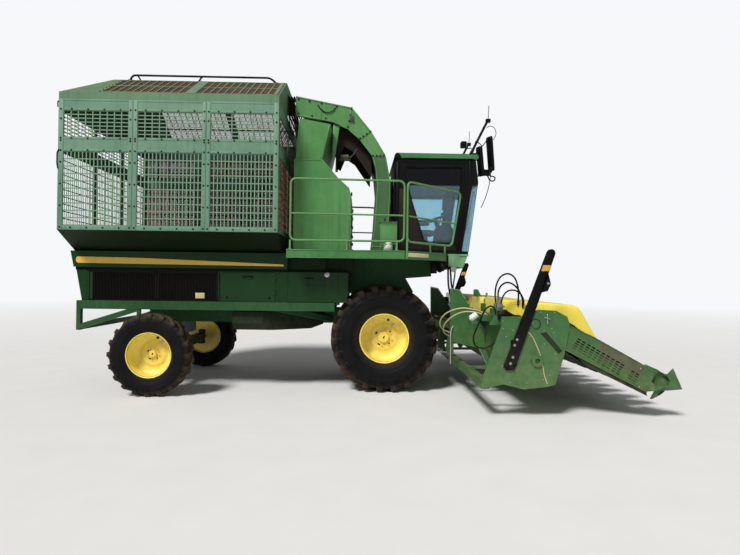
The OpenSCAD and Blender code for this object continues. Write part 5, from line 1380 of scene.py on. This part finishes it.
def makeMirrors():
    for side, name in ((1, "right"), (-1, "left")):
        bm = bmesh.new()
        y = -880 * side
        tube(bm, [(1548, y, 4292), (1600, y, 4380), (1846, y, 4880)], 23, 12)
        tube(bm, [(1600, y, 4378), (1566, y, 4300)], 26, 10)
        box(bm, (1520, y - 40, 4266), (1640, y + 40, 4284))
        box(bm, (1816, y - 36, 4850), (1896, y + 36, 4912))
        tube(bm, [(1858, y, 4905), (1869, y, 5158)], 6, 8)
        for z, out in ((4480, 14), (4620, 10), (4740, 12)):
            lathe(bm, [(24, -out), (31, -out), (31, out), (24, out)], (1545 + (z - 4292) * 0.51, y, z), "x", 14)
        tube(bm, [(1660, y, 4500), (1760, y, 4420), (1850, y, 4540), (1905, y, 4560)], 11, 8)
        tube(bm, [(1700, y, 4390), (1690, y, 3860), (1830, y, 3900)], 12, 8)
        tube(bm, [(1560, y, 4378), (1480, y, 4372), (1440, y, 4390)], 9, 8)
        # two mirror heads with round corners, seen on edge
        for (x, low, high, lean) in ((1722, 3871, 4414, 26), (1905, 3965, 4598, 24)):
            shape = rounded([(-95, low), (95, low), (95, high), (-95, high)], 46, 5)
            turn = radians(18 * side)
            loops = []
            for d, s in ((-30, 0.80), (-22, 0.93), (0, 1.0), (16, 1.0), (20, 0.95)):
                ring = []
                for u, z in shape:
                    mid = (low + high) / 2
                    q = Vector((d, u * s, mid + (z - mid) * (s * 0.5 + 0.5)))
                    tilt = (z - mid) / (high - mid) * -lean
                    ring.append(bm.verts.new(at(x + q.x * cos(turn) - q.y * sin(turn) + tilt,
                        y + q.x * sin(turn) + q.y * cos(turn) * 0.8, q.z)))
                loops.append(ring)
            skin(bm, loops)
        box(bm, (1770, y - 30, 3880), (1900, y + 30, 3990))
        tube(bm, rounded([(1850, y, 3900), (1900, y, 3790), (1985, y, 3785), (2000, y, 3860), (1900, y, 3880)], 34, 5,
            False), 12, 8)
        piece("mirrorArms_" + name, bm, "black", smooth=45, replaces=("mirrors",) if side > 0 else ())
        bm = bmesh.new()
        box(bm, (1362, y - 68, 4382), (1462, y + 68, 4490))
        lathe(bm, [(0, 0), (46, 4), (58, 26), (58, 44), (0, 48)], (1890, y, 3990), "x", 24)
        piece("workLamps_" + name, bm, "black", bevel=14, rounds=3)
        bm = bmesh.new()
        box(bm, (1460, y - 56, 4394), (1466, y + 56, 4478))
        lathe(bm, [(0, 50), (30, 46), (48, 38), (48, 30), (0, 30)], (1898, y, 3990), "x", 24)
        piece("workLampGlass_" + name, bm, "lamp", "chassis", bevel=2)
    bm = bmesh.new()  # long bar on the roof of the basket
    y = -860
    tube(bm, rounded([(-4610, y, 5508), (-4560, y, 5589), (-2110, y, 5589), (-2010, y, 5512)], 60, 6, False), 18, 12)
    tube(bm, rounded([(-3380, y, 5510), (-3330, y, 5588), (-3260, y, 5588)], 40, 5, False), 15, 10)
    tube(bm, [(-4480, y, 5588), (-4430, y, 5508)], 13, 10)
    for x in (-4640, -3400, -2036):
        box(bm, (x, y - 30, 5490), (x + 80, y + 30, 5503))
    piece("roofBar", bm, "black", "basket", smooth=45, replaces=("roof_rail",))


makeCab()
makeInside()
makeRails()
makePlatform()
makeDuct()
makeCleaner()
makeMirrors()
print("cab, platform and duct: done")

# ---- header
head = {"half": 3060, "slope": 26.7, "pitch": 1016, "low": (2329, 1088), "auger": (2086, 839)}


def slopePoint(along, out):  # a point on the side of a row unit, from its lower rear corner
    a = radians(head["slope"])
    return (head["low"][0] + along * cos(a) + out * sin(a), head["low"][1] - along * sin(a) + out * cos(a))


def makeRowHoods():  # smooth yellow shells with round shoulders
    for i in range(5):
        y = (i - 2) * head["pitch"]
        side = [(1646, 1688), (2100, 1664), (2620, 1630), (2764, 1618), (2900, 1600), (2960, 1568), (3000, 1512),
            (3060, 1412), (3150, 1256), (3233, 1115)]
        half = 356
        bm = bmesh.new()
        loops = []
        for k, (x, z) in enumerate(side):
            a = Vector(side[max(0, k - 1)])
            b = Vector(side[min(len(side) - 1, k + 1)])
            along = (b - a).normalized()
            inward = Vector((along.y, -along.x))  # towards the machine's middle
            base = 1462 if x < 1800 else (1442 if x < 2620 else max(1116, 1442 - (x - 2620) * 0.53))
            ring = []
            for u, d in ((-1, 1), (-1, 0.55), (-1, 0.16), (-0.985, 0.07), (-0.95, 0.02), (-0.88, 0), (-0.5, -0.012),
                    (0, -0.016), (0.5, -0.012), (0.88, 0), (0.95, 0.02), (0.985, 0.07), (1, 0.16), (1, 0.55), (1, 1)):
                depth = d * 260
                px, pz = x + inward.x * min(depth, 60), z + inward.y * min(depth, 60)
                if d > 0.3:
                    t = (d - 0.16) / 0.84
                    pz += (base - pz) * t
                ring.append(bm.verts.new(at(px, y + u * half, max(pz, base if d > 0.9 else 1100))))
            loops.append(ring)
        for one, two in zip(loops, loops[1:]):
            for k in range(len(one) - 1):
                bm.faces.new((one[k], one[k + 1], two[k + 1], two[k]))
        bm.faces.new(loops[0][::-1])
        made = bm.faces[:]
        bmesh.ops.recalc_face_normals(bm, faces=made)
        bmesh.ops.solidify(bm, geom=made, thickness=0.006)
        bmesh.ops.recalc_face_normals(bm, faces=bm.faces)
        piece(f"rowHood_{i + 1}", bm, "yellow", "header", smooth=40,
            replaces=("row_hoods",) if i == 0 else ())


def makeHeaderSides():
    h = head
    for side in (1, -1):
        name = sideName(side)

        def out(d):  # distance outwards from the end plate
            return -side * (h["half"] + d)
        bm = bmesh.new()
        # rolled edge along the top of the plate and seams of the fan plate
        top = [(1903, 1468), (2097, 1562), (2171, 1560), (2353, 1550), (2508, 1470), (2552, 1342)]
        wallStrip(bm, out(11), [(a, b - 8) for a, b in top], 20, 8)
        wallStrip(bm, out(4), [(2554, 1336), (2911, 1176), (3600, 802)], 14, 7)
        wallStrip(bm, out(5), [(2336, 1080), (3674, 408)], 20, 9)
        for path in ([(1760, 1310), (1700, 520)], [(2030, 1209), (2182, 520)], [(2371, 960), (2290, 611)]):
            wallStrip(bm, out(12), path, 10, 5)
        fan = rounded([(1569, 1324), (1763, 1302), (2030, 1209), (2371, 960), (2290, 611), (2182, 550), (1941, 500),
            (1699, 505), (1626, 557), (1552, 724)], 30, 4)
        prism(bm, fan, out(10), out(15))
        piece("sidePlates_" + name, bm, "header", "header", bevel=2)
        bm = bmesh.new()  # dark diagonal beam below the row unit, its black partly painted shadow under the row unit, and its shadow lip
        prism(bm, [(2240, 1150), (2330, 1180), (2420, 1010), (2800, 770), (3690, 345), (3676, 405), (2336, 1075)],
            out(-30), out(-12))
        prism(bm, [(2130, 1230), (2215, 1250), (2440, 985), (2395, 940)], out(15), out(26))
        piece("lowerBeams_" + name, bm, "dark", "header", bevel=3)
        bm = bmesh.new()  # ring hub, bearing and its housings
        lathe(bm, [(0, -6), (34, -6), (40, 4), (40, 28), (58, 34), (64, 26), (64, 2), (74, 0), (74, -8)],
            (2064, out(10), 1366), "y", 36)
        lathe(bm, [(0, 6), (30, 8), (36, 20), (64, 18), (78, 8), (84, 0), (84, -6)],
            (h["auger"][0], out(14), h["auger"][1]), "y", 36)
        for k in range(4):
            a = radians(45 + k * 90)
            lathe(bm, [(0, 14), (10, 14), (12, 0)], (h["auger"][0] + 66 * cos(a), out(18),
                h["auger"][1] + 66 * sin(a)), "y", 6)
        if side > 0:
            for v in bm.verts:
                v.co.y = 2 * out(10) / 1000 - v.co.y
        piece("sideHubs_" + name, bm, "bolt", "header", smooth=40)
        spots = []
        for x, z in ((1600, 1290), (1740, 1270), (1640, 1180), (1990, 1190), (2190, 1080), (2350, 940), (2268, 640),
                (2180, 575), (1940, 524), (1700, 530), (1590, 760), (2290, 1300), (2180, 1270), (2320, 1240),
                (1590, 1400), (1850, 1440), (2130, 1530), (2330, 1530)):
            spots.append(((x, out(15), z), (0, -side, 0)))
        for x, z in ((2400, 1070), (2540, 1290), (3560, 480), (3580, 740)):
            spots.append(((x, out(8), z), (0, -side, 0)))
        bolts("sideBolts_" + name, spots, "header", look="silver", radius=9, head=8, washer=14)
        # marker arm: square tube with a round head, pale band and bracket plate
        bm = bmesh.new()
        arm = rounded([(1640, 700), (1757, 706), (2330, 2376), (2300, 2428), (2236, 2424), (2206, 2396), (1602, 752)],
            [20, 20, 50, 34, 34, 40, 20], 5)
        prism(bm, arm, out(22), out(48))
        box(bm, (1706, out(16), 760), (1800, out(24), 1130))
        prism(bm, rounded([(2206, 2076), (2226, 2084), (2262, 1945), (2262, 1920), (2220, 1832), (2122, 1806),
            (2120, 1812)], 12, 3), out(34), out(48))
        piece("markerArm_" + name, bm, "black", "header", bevel=5,
            replaces=("marker_arms",) if side > 0 else ())
        bm = bmesh.new()
        prism(bm, [(2122, 2113), (2244, 2113), (2273, 2198), (2151, 2198)], out(20), out(49.5))
        piece("markerBand_" + name, bm, "amber", "header", bevel=1.5)
        spots = [((x, out(48.5), z), (0, -side, 0)) for x, z in ((1700, 800), (1732, 890), (1756, 1060), (1790, 1140),
            (2225, 1940))]
        bolts("markerBolts_" + name, spots, "header", look="silver", radius=12, head=11, washer=19)
        # reflector on the plate
        bm = bmesh.new()
        box(bm, (2352, out(11), 1336), (2468, out(13), 1366))
        piece("plateReflector_" + name, bm, "white", "header", bevel=1)
        # flanged edge of the lift plate with dark bands
        bm = bmesh.new()
        ly = -side * 1320
        strip(bm, [(1137, ly, 1830), (1290, ly, 1800), (1496, ly, 1480), (1745, ly, 1070)], 100, 14, (0.84, 0, 0.54))
        strip(bm, [(1862, ly, 556), (1796, ly, 476), (1640, ly, 800)], 90, 12, (0.2, 0, -1))
        piece("liftFlanges_" + name, bm, "skirt", "header", bevel=3)
        bm = bmesh.new()
        for x, z in ((1400, 1640), (1452, 1560), (1602, 1318), (1662, 1220)):
            strip(bm, [(x - 3, ly, z + 5), (x + 6, ly, z - 9)], 104, 18, (0.84, 0, 0.54))
        piece("liftBands_" + name, bm, "black", "header", smooth=30)


rowPlate = {
    "outline": [(2329, 1088), (3675, 411), (3700, 520), (3600, 805), (2911, 1179), (2554, 1340), (2400, 1250)],
    "grid": (2676, 1166), "columns": 10, "rows": 5, "stepX": 80, "stepZ": 36, "slot": (58, 17), "angle": 29.5,
    "second": (3452, 716), "secondColumns": 2, "secondRows": 4,
}


def makeRowUnits():  # the row units with the edge plates' finer slots
    v = rowPlate
    bm = bmesh.new()
    bm.from_mesh(nodes["row_units"].data)
    bmesh.ops.remove_doubles(bm, verts=bm.verts, dist=1e-5)
    seen, parts = set(), []
    for start in bm.verts:
        if start in seen:
            continue
        stack, island = [start], []
        seen.add(start)
        while stack:
            vert = stack.pop()
            island.append(vert)
            for edge in vert.link_edges:
                other = edge.other_vert(vert)
                if other not in seen:
                    seen.add(other)
                    stack.append(other)
        parts.append(island)
    gone = []
    for island in parts:
        ys = [abs(vert.co.y) for vert in island]
        xs = [vert.co.x for vert in island]
        if max(ys) > 3.055 and max(ys) - min(ys) < 0.013 and max(xs) - min(xs) > 1.0:
            gone += island
    bmesh.ops.delete(bm, geom=gone, context="VERTS")
    piece("rowBodies", bm, "rowSide", "header", smooth=25, replaces=("row_units",))
    a = radians(v["angle"])
    down = (cos(a), -sin(a))
    across = (-sin(a), -cos(a))
    holes = []
    for place, columns, rows in ((v["grid"], v["columns"], v["rows"]), (v["second"], v["secondColumns"],
            v["secondRows"])):
        for k in range(columns):
            for r in range(rows):
                x = place[0] + k * v["stepX"] * down[0] + r * v["stepZ"] * across[0]
                z = place[1] + k * v["stepX"] * down[1] + r * v["stepZ"] * across[1]
                w, h = v["slot"]
                ring = [(x + s * down[0] + t * across[0], z + s * down[1] + t * across[1]) for s,
                    t in ((0, 0), (w, 0), (w, h), (0, h))]
                holes.append(rounded(ring, 5, 2))
    for side in (1, -1):
        bm = bmesh.new()
        y = -side * head["half"]
        plate(bm, v["outline"], holes, y + side * 12, y + side * 0.4)
        piece("edgePlate_" + sideName(side), bm, "rowSide", "header", smooth=25)
        bm = bmesh.new()
        prism(bm, [(2520, 1180), (3560, 640), (3600, 700), (3480, 800), (2700, 1210), (2560, 1260)], y + side * 26,
            y + side * 30)
        piece("slotShade_" + sideName(side), bm, "seal", "header")


def makeAuger():  # two spiral flights that bring the cotton to the middle
    bm = bmesh.new()
    x, z = head["auger"]
    flight = ((58, -3), (256, -2), (256, 2), (58, 3))  # section of one flight: radius, offset along the tube
    tube(bm, [(x, y, z) for y in (-3056, -2000, 0, 2000, 3056)], 60, 24)
    for side in (-1, 1):
        turns, steps = 6.2, 26
        count = int(turns * steps)
        loops = []
        for k in range(count + 1):
            y = side * (2990 - k / count * 2680)
            a = k / steps * 2 * pi * side
            loops.append([bm.verts.new(at(x + r * cos(a), y + d, z + r * sin(a))) for r, d in flight])
        skin(bm, loops)
        lathe(bm, [(35, -3), (35, 30), (46, 30), (46, -3)], (x, side * 3062, z), "y", 24)
    for k in range(6):
        a = k * pi / 3
        u, w = cos(a), sin(a)
        low = Vector((x + u * 50, 0, z + w * 50))
        high = Vector((x + u * 240, 0, z + w * 240))
        strip(bm, [(low.x, -130, low.z), (high.x, -130, high.z)], 240, 10, (-w, 0, u))
    piece("augerFlights", bm, "auger", "auger", smooth=40, replaces=("cross_auger",))


def makeRolls():  # pairs of bat and brush rolls
    bm = bmesh.new()
    a = radians(head["slope"])
    mesh = bpy.data.meshes.new("rollShape")
    one = bmesh.new()
    for k in range(6):
        turn = Matrix.Rotation(k * pi / 3, 4, "X")
        made = bmesh.ops.create_cube(one, size=1)["verts"]
        blade = Matrix.Translation((0.65, 0, 0.0435)) @ Matrix.Diagonal((1.29, 0.014, 0.024, 1))
        bmesh.ops.transform(one, matrix=turn @ blade, verts=made)
    bmesh.ops.create_cone(one, cap_ends=True, segments=16, radius1=0.034, radius2=0.034, depth=1.298,
        matrix=Matrix.Translation((0.65, 0, 0)) @ Matrix.Rotation(pi / 2, 4, "Y"))
    one.to_mesh(mesh)
    one.free()
    for i in range(6):
        y = (i - 2.5) * head["pitch"]
        for side in (-1, 1):
            start = slopePoint(99, 90)
            place = Matrix.Translation(at(start[0], y + side * 60, start[1])) @ Matrix.Rotation(a, 4,
                "Y") @ Matrix.Rotation(0.2 * side, 4, "X")
            bring(bm, mesh.copy(), place)
        foot = [slopePoint(u, v) for u, v in ((40, 0), (100, 0), (100, 150), (84, 156), (56, 156), (40, 150))]
        prism(bm, foot, y - 118, y + 118)
    bpy.data.meshes.remove(mesh)
    piece("rowRolls", bm, "roll", "header", smooth=30, replaces=("stripper_rolls",))


def makeValves():  # valve block, motor, filter can and fittings on the right of the main tube
    bm = bmesh.new()
    box(bm, (1600, -2700, 1460), (1760, -2250, 1540))
    box(bm, (1620, -1800, 1460), (1740, -1500, 1590))
    prism(bm, rounded([(1560, 1690), (1700, 1700), (1640, 1820), (1560, 1820)], 20, 3), -1200, -1188)
    box(bm, (1300, -2300, 1290), (1420, -2180, 1330))
    box(bm, (1480, -2300, 1340), (1590, -2100, 1440))
    prism(bm, rounded([(1420, 1330), (1573, 1330), (1573, 1450), (1480, 1450)], 12, 3), -2980, -2968)
    piece("valveBases", bm, "header", "header", bevel=4)
    bm = bmesh.new()
    for x, yy, z, lean in ((1640, -2640, 1540, 20), (1690, -2560, 1540, -10), (1640, -2480, 1540, 30),
            (1700, -2380, 1540, 10), (1660, -1720, 1590, 12)):
        box(bm, (x - 30, yy - 26, z), (x + 30, yy + 26, z + 84))
        tube(bm, [(x, yy, z + 80), (x + lean, yy, z + 150)], 12, 10)
        lathe(bm, [(0, 0), (20, 0), (20, 26), (14, 30), (14, 44), (0, 44)], (x + lean, yy, z + 140), "z", 6)
        lathe(bm, [(0, 0), (18, 0), (18, 30), (0, 30)], (x + 30, yy, z + 40), "x", 6)
    for x, z in ((2221, 1452), (2240, 1400), (2180, 1330), (2240, 1270)):
        lathe(bm, [(0, 0), (17, 0), (17, 20), (12, 24), (12, 44), (20, 46), (20, 58), (0, 58)], (x, -3070, z), "y", 6)
    tube(bm, [(2180, -3090, 1462), (2262, -3100, 1432)], 9, 8)
    tube(bm, [(2225, -3085, 1500), (2225, -3100, 1360)], 10, 8)
    piece("chromeFittings", bm, "silver", "header", smooth=40, bevel=2)
    bm = bmesh.new()  # hydraulic motor lying on the tube and pale filter can
    prism(bm, rounded([(1575, 1470), (1800, 1352), (1850, 1440), (1630, 1560)], 26, 4), -3040, -2920)
    lathe(bm, [(0, 0), (60, 0), (66, 10), (66, 90), (52, 104), (0, 104)], (1540, -2990, 1480), "x", 24)
    piece("feedMotor", bm, "black", "header", bevel=5)
    bm = bmesh.new()
    a, b = Vector((1300, -2260, 1370)), Vector((1395, -2260, 1440))
    ring = [a, a + (b - a) * 0.05, b - (b - a) * 0.05, b]
    tube(bm, ring, 52, 28)
    tube(bm, [a - (b - a) * 0.14, a], 24, 16)
    piece("filterCan", bm, "white", "header", smooth=45, bevel=4)
    bm = bmesh.new()  # square tool box and pump on the left of it
    box(bm, (1450, 1500, 1460), (1570, 1900, 1600))
    lathe(bm, [(0, 0), (80, 0), (88, 14), (88, 160), (70, 180), (0, 180)], (1660, 1200, 1460), "z", 28)
    piece("leftPump", bm, "black", "header", bevel=6)


def makeTips():  # edge of the nose pieces and the hooks below
    for side in (1, -1):
        bm = bmesh.new()
        y = -side * (head["half"] - 1)
        wallStrip(bm, y, [(3968, 652), (4053, 742), (4074, 690), (4180, 456)], 12, 9)
        wallStrip(bm, y, [(3640, 800), (3808, 730), (3842, 716)], 12, 8)
        piece("tipEdges_" + sideName(side), bm, "header", "header", smooth=40)
        bm = bmesh.new()
        y = -side * (head["half"] - 40)
        path = [(3940, y, 424), (3905, y, 392), (3850, y, 352), (3790, y, 318), (3754, y, 303)]
        loops = []
        for k, p in enumerate(path):
            s = 1 - 0.55 * k / 4
            loops.append([bm.verts.new(at(p[0] + u * 14 * s, p[1] + v * 9 * s, p[2] - u * 14 * s)) for u,
                v in ((-1, -1), (1, -1), (1, 1), (-1, 1))])
        skin(bm, loops)
        piece("tipHook_" + sideName(side), bm, "bolt", "header", smooth=50)


# hoses and cables, each from fitting to fitting: path, radius, look
hoses = {
    "creamLoop": ([(1568, -2240, 1430), (1450, -2230, 1490), (1326, -2200, 1520), (1190, -2120, 1530),
        (1060, -2000, 1490), (965, -1860, 1420), (915, -1700, 1320), (930, -1540, 1210), (1010, -1420, 1120),
        (1130, -1364, 1070)], 11, "cream", "object"),
    "creamLoopLow": ([(1568, -2290, 1400), (1450, -2280, 1455), (1320, -2250, 1480), (1190, -2170, 1470),
        (1080, -2050, 1410), (1000, -1900, 1320), (960, -1740, 1210), (980, -1580, 1110), (1060, -1440, 1040),
        (1140, -1364, 1000)], 10, "cream", "object"),
    "blackArch": ([(1640, -2480, 1466), (1640, -2478, 1600), (1628, -2472, 1760), (1650, -2466, 1920),
        (1720, -2460, 2040), (1830, -2455, 2080), (1930, -2450, 2020), (1985, -2440, 1880), (2000, -2425, 1740),
        (1995, -2404, 1600)], 13, "hose", "object"),
    "blackArchBack": ([(1700, -2380, 1692), (1698, -2376, 1790), (1740, -2370, 1890), (1830, -2366, 1945),
        (1930, -2366, 1920), (2010, -2370, 1840), (2060, -2376, 1740), (2078, -2384, 1660), (2076, -2394, 1590)], 13,
        "hose", "object"),
    "lowArch": ([(1700, -2560, 1466), (1700, -2560, 1600), (1720, -2558, 1720), (1790, -2550, 1810),
        (1900, -2540, 1830), (2000, -2520, 1780), (2060, -2480, 1690), (2076, -2440, 1620), (2070, -2404, 1570)], 12,
        "hose", "object"),
    "sagLoop": ([(1600, -2640, 1466), (1585, -2644, 1540), (1520, -2650, 1590), (1440, -2655, 1540),
        (1370, -2660, 1400), (1300, -2660, 1240), (1262, -2655, 1100), (1310, -2645, 985), (1430, -2640, 960),
        (1560, -2645, 1020), (1670, -2655, 1120), (1730, -2662, 1230), (1745, -2665, 1326)], 12, "hose", "object"),
    "paleHanging": ([(1180, -1364, 1180), (1150, -1380, 1130), (1134, -1400, 1040), (1132, -1410, 900),
        (1132, -1414, 740), (1133, -1414, 600), (1134, -1414, 540)], 10, "paleHose", "bare"),
    "tanCable": ([(1932, -3084, 1256), (1985, -3085, 1215), (2036, -3085, 1140), (2086, -3085, 1030),
        (2130, -3085, 920), (2162, -3085, 800), (2181, -3085, 682), (2205, -3085, 590), (2236, -3085, 512)], 7,
        "cream", "bare"),
    "cabHoseOne": ([(1180, -760, 2200), (1175, -790, 2060), (1180, -820, 1880), (1215, -850, 1700), (1285, -900, 1560),
        (1380, -960, 1490), (1490, -1000, 1470), (1590, -1010, 1474)], 17, "hose", "object"),
    "cabHoseTwo": ([(1230, -700, 2196), (1235, -730, 2050), (1245, -770, 1880), (1290, -820, 1710), (1360, -880, 1590),
        (1450, -930, 1510), (1540, -955, 1480), (1600, -960, 1474)], 17, "hose", "object"),
    "cabHoseThree": ([(1330, -640, 2204), (1320, -660, 2060), (1290, -700, 1900), (1275, -760, 1740),
        (1310, -820, 1610), (1390, -860, 1520), (1490, -880, 1480), (1590, -885, 1472)], 13, "hose", "object"),
    "mirrorCable": ([(1829, -900, 4747), (1872, -904, 4778), (1926, -908, 4772), (1975, -910, 4730),
        (1996, -908, 4660), (1984, -905, 4590), (1950, -902, 4530)], 6, "hose", "object"),
    "mirrorDrop": ([(1915, -890, 3986), (1912, -892, 3900), (1896, -898, 3780), (1868, -900, 3640), (1826, -900, 3500),
        (1780, -900, 3380), (1742, -900, 3296)], 7, "hose", "bare"),
    "hoodCableBlack": ([(-1248, -764, 5150), (-1180, -768, 5060), (-1080, -770, 5010), (-980, -768, 5040),
        (-920, -764, 5110)], 9, "hose", "object"),
}
for name, (path, radius, look, end) in hoses.items():
    points = [Vector(p) for p in path]
    fine = []
    for i in range(len(points) - 1):  # one smooth curve through the points
        p0, p1, p2, p3 = points[max(0, i - 1)], points[i], points[i + 1], points[min(len(points) - 1, i + 2)]
        for k in range(4):
            t = k / 4
            square, cube = 2 * p0 - 5 * p1 + 4 * p2 - p3, 3 * p1 - p0 - 3 * p2 + p3
            fine.append(0.5 * (2 * p1 + (p2 - p0) * t + square * t * t + cube * t ** 3))
    fine.append(points[-1])
    bm = bmesh.new()
    tube(bm, fine, radius, 12)
    body = "chassis" if name.startswith(("mirror", "hood", "cab")) else "header"
    made = piece(name, bm, look, body, smooth=60)
print("hoses:", len(hoses))
makeRowHoods()
makeHeaderSides()
makeRowUnits()
makeAuger()
makeRolls()
makeValves()
makeTips()
print("header: done")

# ---- body: stripe, screens, seams, rivets and the shaded panels under the platform
side = {
    "proud": 1340, "face": 1300, "lip": 2123, "stripe": [(-5288, 2191), (-1754, 2174), (-1746, 2206), (-3400, 2262),
        (-4200, 2288), (-5288, 2300)],
    "screens": ((-5085, -3935), (-3915, -2890)), "rib": 10, "pitch": 25, "low": 1560, "high": 2056,
}


def makeBody():
    v = side
    bm = bmesh.new()
    shape = rounded(v["stripe"], [50, 14, 14, 60, 60, 50], 6)
    for s in (-1, 1):
        prism(bm, shape, s * (v["proud"] - 1), s * (v["proud"] + 1.4))
    piece("sideStripes", bm, "stripe", "chassis", smooth=30)
    bm = bmesh.new()  # black strips for the painted shadow below the proud panel; dark panels under the platform, their green painted dark as shade
    for s in (-1, 1):
        box(bm, (-5310, s * 1240, 2076), (-1692, s * 1303, 2122))
        box(bm, (-1688, s * 1236, 2081), (-650, s * 1262, 2118))
        box(bm, (-5120, s * 1290, 2060), (-2880, s * 1304, 2078))
    piece("shadowGaps", bm, "seal", smooth=30)
    # the dark green of these panels is painted shade under the platform
    bm = bmesh.new()
    for s in (-1, 1):
        box(bm, (-1690, s * 1232, 2118), (-1035, s * 1246, 2448))
        box(bm, (-1040, s * 1180, 2082), (-566, s * 1196, 2448))
        prism(bm, [(-566, 2448), (-566, 2150), (-620, 2040), (-660, 1760), (-570, 1700), (-540, 2448)], s * 1100,
            s * 1112)
    piece("innerPanels", bm, "filler", "chassis", smooth=30, bevel=2)
    for s, name in ((-1, "right"), (1, "left")):
        bm = bmesh.new()
        y = s * 1293
        for a, c in v["screens"]:
            count = int((c - a - 40) / v["pitch"])
            values = {"Count": count, "Pitch": v["pitch"] / 1000, "Size": (v["rib"] / 1000, 0.010,
                (v["high"] - v["low"]) / 1000)}
            bring(bm, grow(rowTree, values, look="screen"), Matrix.Translation(at(a + 24, y,
                (v["low"] + v["high"]) / 2)))
            for low, high in ((v["low"] - 8, v["low"] + 16), (v["high"] - 16, v["high"] + 8)):
                box(bm, (a, y - 7, low), (c, y + 7, high))
            for x in (a, c - 20):
                box(bm, (x, y - 7, v["low"]), (x + 20, y + 7, v["high"]))
            box(bm, (a + 10, y - s * 14 - 2, v["low"]), (c - 10, y - s * 14 + 2, v["high"]))
        piece("screenRibs_" + name, bm, "screen", "chassis", smooth=30,
            replaces=("air_screens",) if s < 0 else ())
        bm = bmesh.new()
        out = s * 1301
        box(bm, (-3265, out, 1606), (-3110, out + s * 3, 1702))
        piece("blankTag_" + name, bm, "cream", "chassis", bevel=1)
        bm = bmesh.new()  # seams, ribs and folded posts
        for x, wide in ((-1900, 12), (-1844, 12), (-1700, 14), (-1330, 10), (-1050, 10), (-820, 10), (-2880, 16),
                (-5130, 14)):
            box(bm, (x, s * 1297, 1556), (x + wide, s * 1306, 2072))
        box(bm, (-1690, s * 1297, 1556), (-650, s * 1307, 1640))
        box(bm, (-5376, s * 1334, 2380), (-1692, s * 1346, 2398))
        box(bm, (-5330, s * 1334, 2124), (-1692, s * 1345, 2138))
        piece("bodySeams_" + name, bm, "body", "chassis", bevel=2)
        bm = bmesh.new()
        box(bm, (-2460, s * 1300, 1975), (-2280, s * 1318, 2004))
        box(bm, (-1390, s * 1300, 1958), (-1240, s * 1312, 1986))
        for x in (-2740, -2010):
            box(bm, (x, s * 1300, 1610), (x + 30, s * 1308, 1650))
        piece("bodyHandles_" + name, bm, "black", bevel=4)
        bm = bmesh.new()
        lathe(bm, [(0, 0), (44, 0), (44, 10), (26, 16), (0, 16)], (-1010, out, 2040), "y", 20)
        if s < 0:
            for vert in bm.verts:
                vert.co.y = 2 * out / 1000 - vert.co.y
        piece("fillerCap_" + name, bm, "silver", "chassis", smooth=40)
        spots = [((x, s * 1341, 1515), (0, s, 0)) for x in range(-5250, -1000, 190)]
        spots += [((x, s * 1301, z), (0, s, 0)) for x in (-2830, -1930) for z in range(1600, 2060, 110)]
        bolts("bodyRivets_" + name, spots, "chassis", look="beam", radius=8, head=6, washer=12)
        bm = bmesh.new()  # latch and hook on the rear corner of the basket
        tube(bm, rounded([(-5340, s * 1838, 4010), (-5367, s * 1838, 3960), (-5367, s * 1838, 3780),
            (-5350, s * 1838, 3700)], 30, 4, False), 11, 8)
        tube(bm, [(-5352, s * 1838, 4800), (-5368, s * 1838, 4780), (-5366, s * 1838, 4700)], 9, 8)
        if s < 0:
            piece("rearLatch", bm, "black", "basket", smooth=50)
        else:
            bm.free()


def makeUnderCab():  # cylinder, coiled lines and small boxes under the front of the platform
    bm = bmesh.new()
    lathe(bm, [(0, 0), (52, 0), (58, 8), (58, 210), (48, 222), (0, 222)], (880, -1010, 2090), "z", 24)
    box(bm, (760, -1060, 2300), (1040, -960, 2316))
    box(bm, (980, -900, 2160), (1110, -700, 2300))
    for k in range(5):
        ring = [(985 + 46 * cos(t), -1030 + k * 7, 2160 + k * 12 + 46 * sin(t))
            for t in (j * pi / 10 for j in range(20))]
        tube(bm, ring, 7, 8, True)
    tube(bm, [(940, -1030, 2300), (960, -1030, 2220)], 12, 8)
    piece("underCab", bm, "black", smooth=45)
    bm = bmesh.new()
    lathe(bm, [(0, 0), (52, 0), (56, 8), (50, 22), (0, 30)], (1260, -880, 2178), "y", 24)
    piece("underCabLamp", bm, "silver", "chassis", smooth=50)


makeBody()
makeUnderCab()
print("body: done")


def closeUp():  # brings the view layer up to date
    bpy.context.view_layer.update()


closeUp()
print("scene: done")
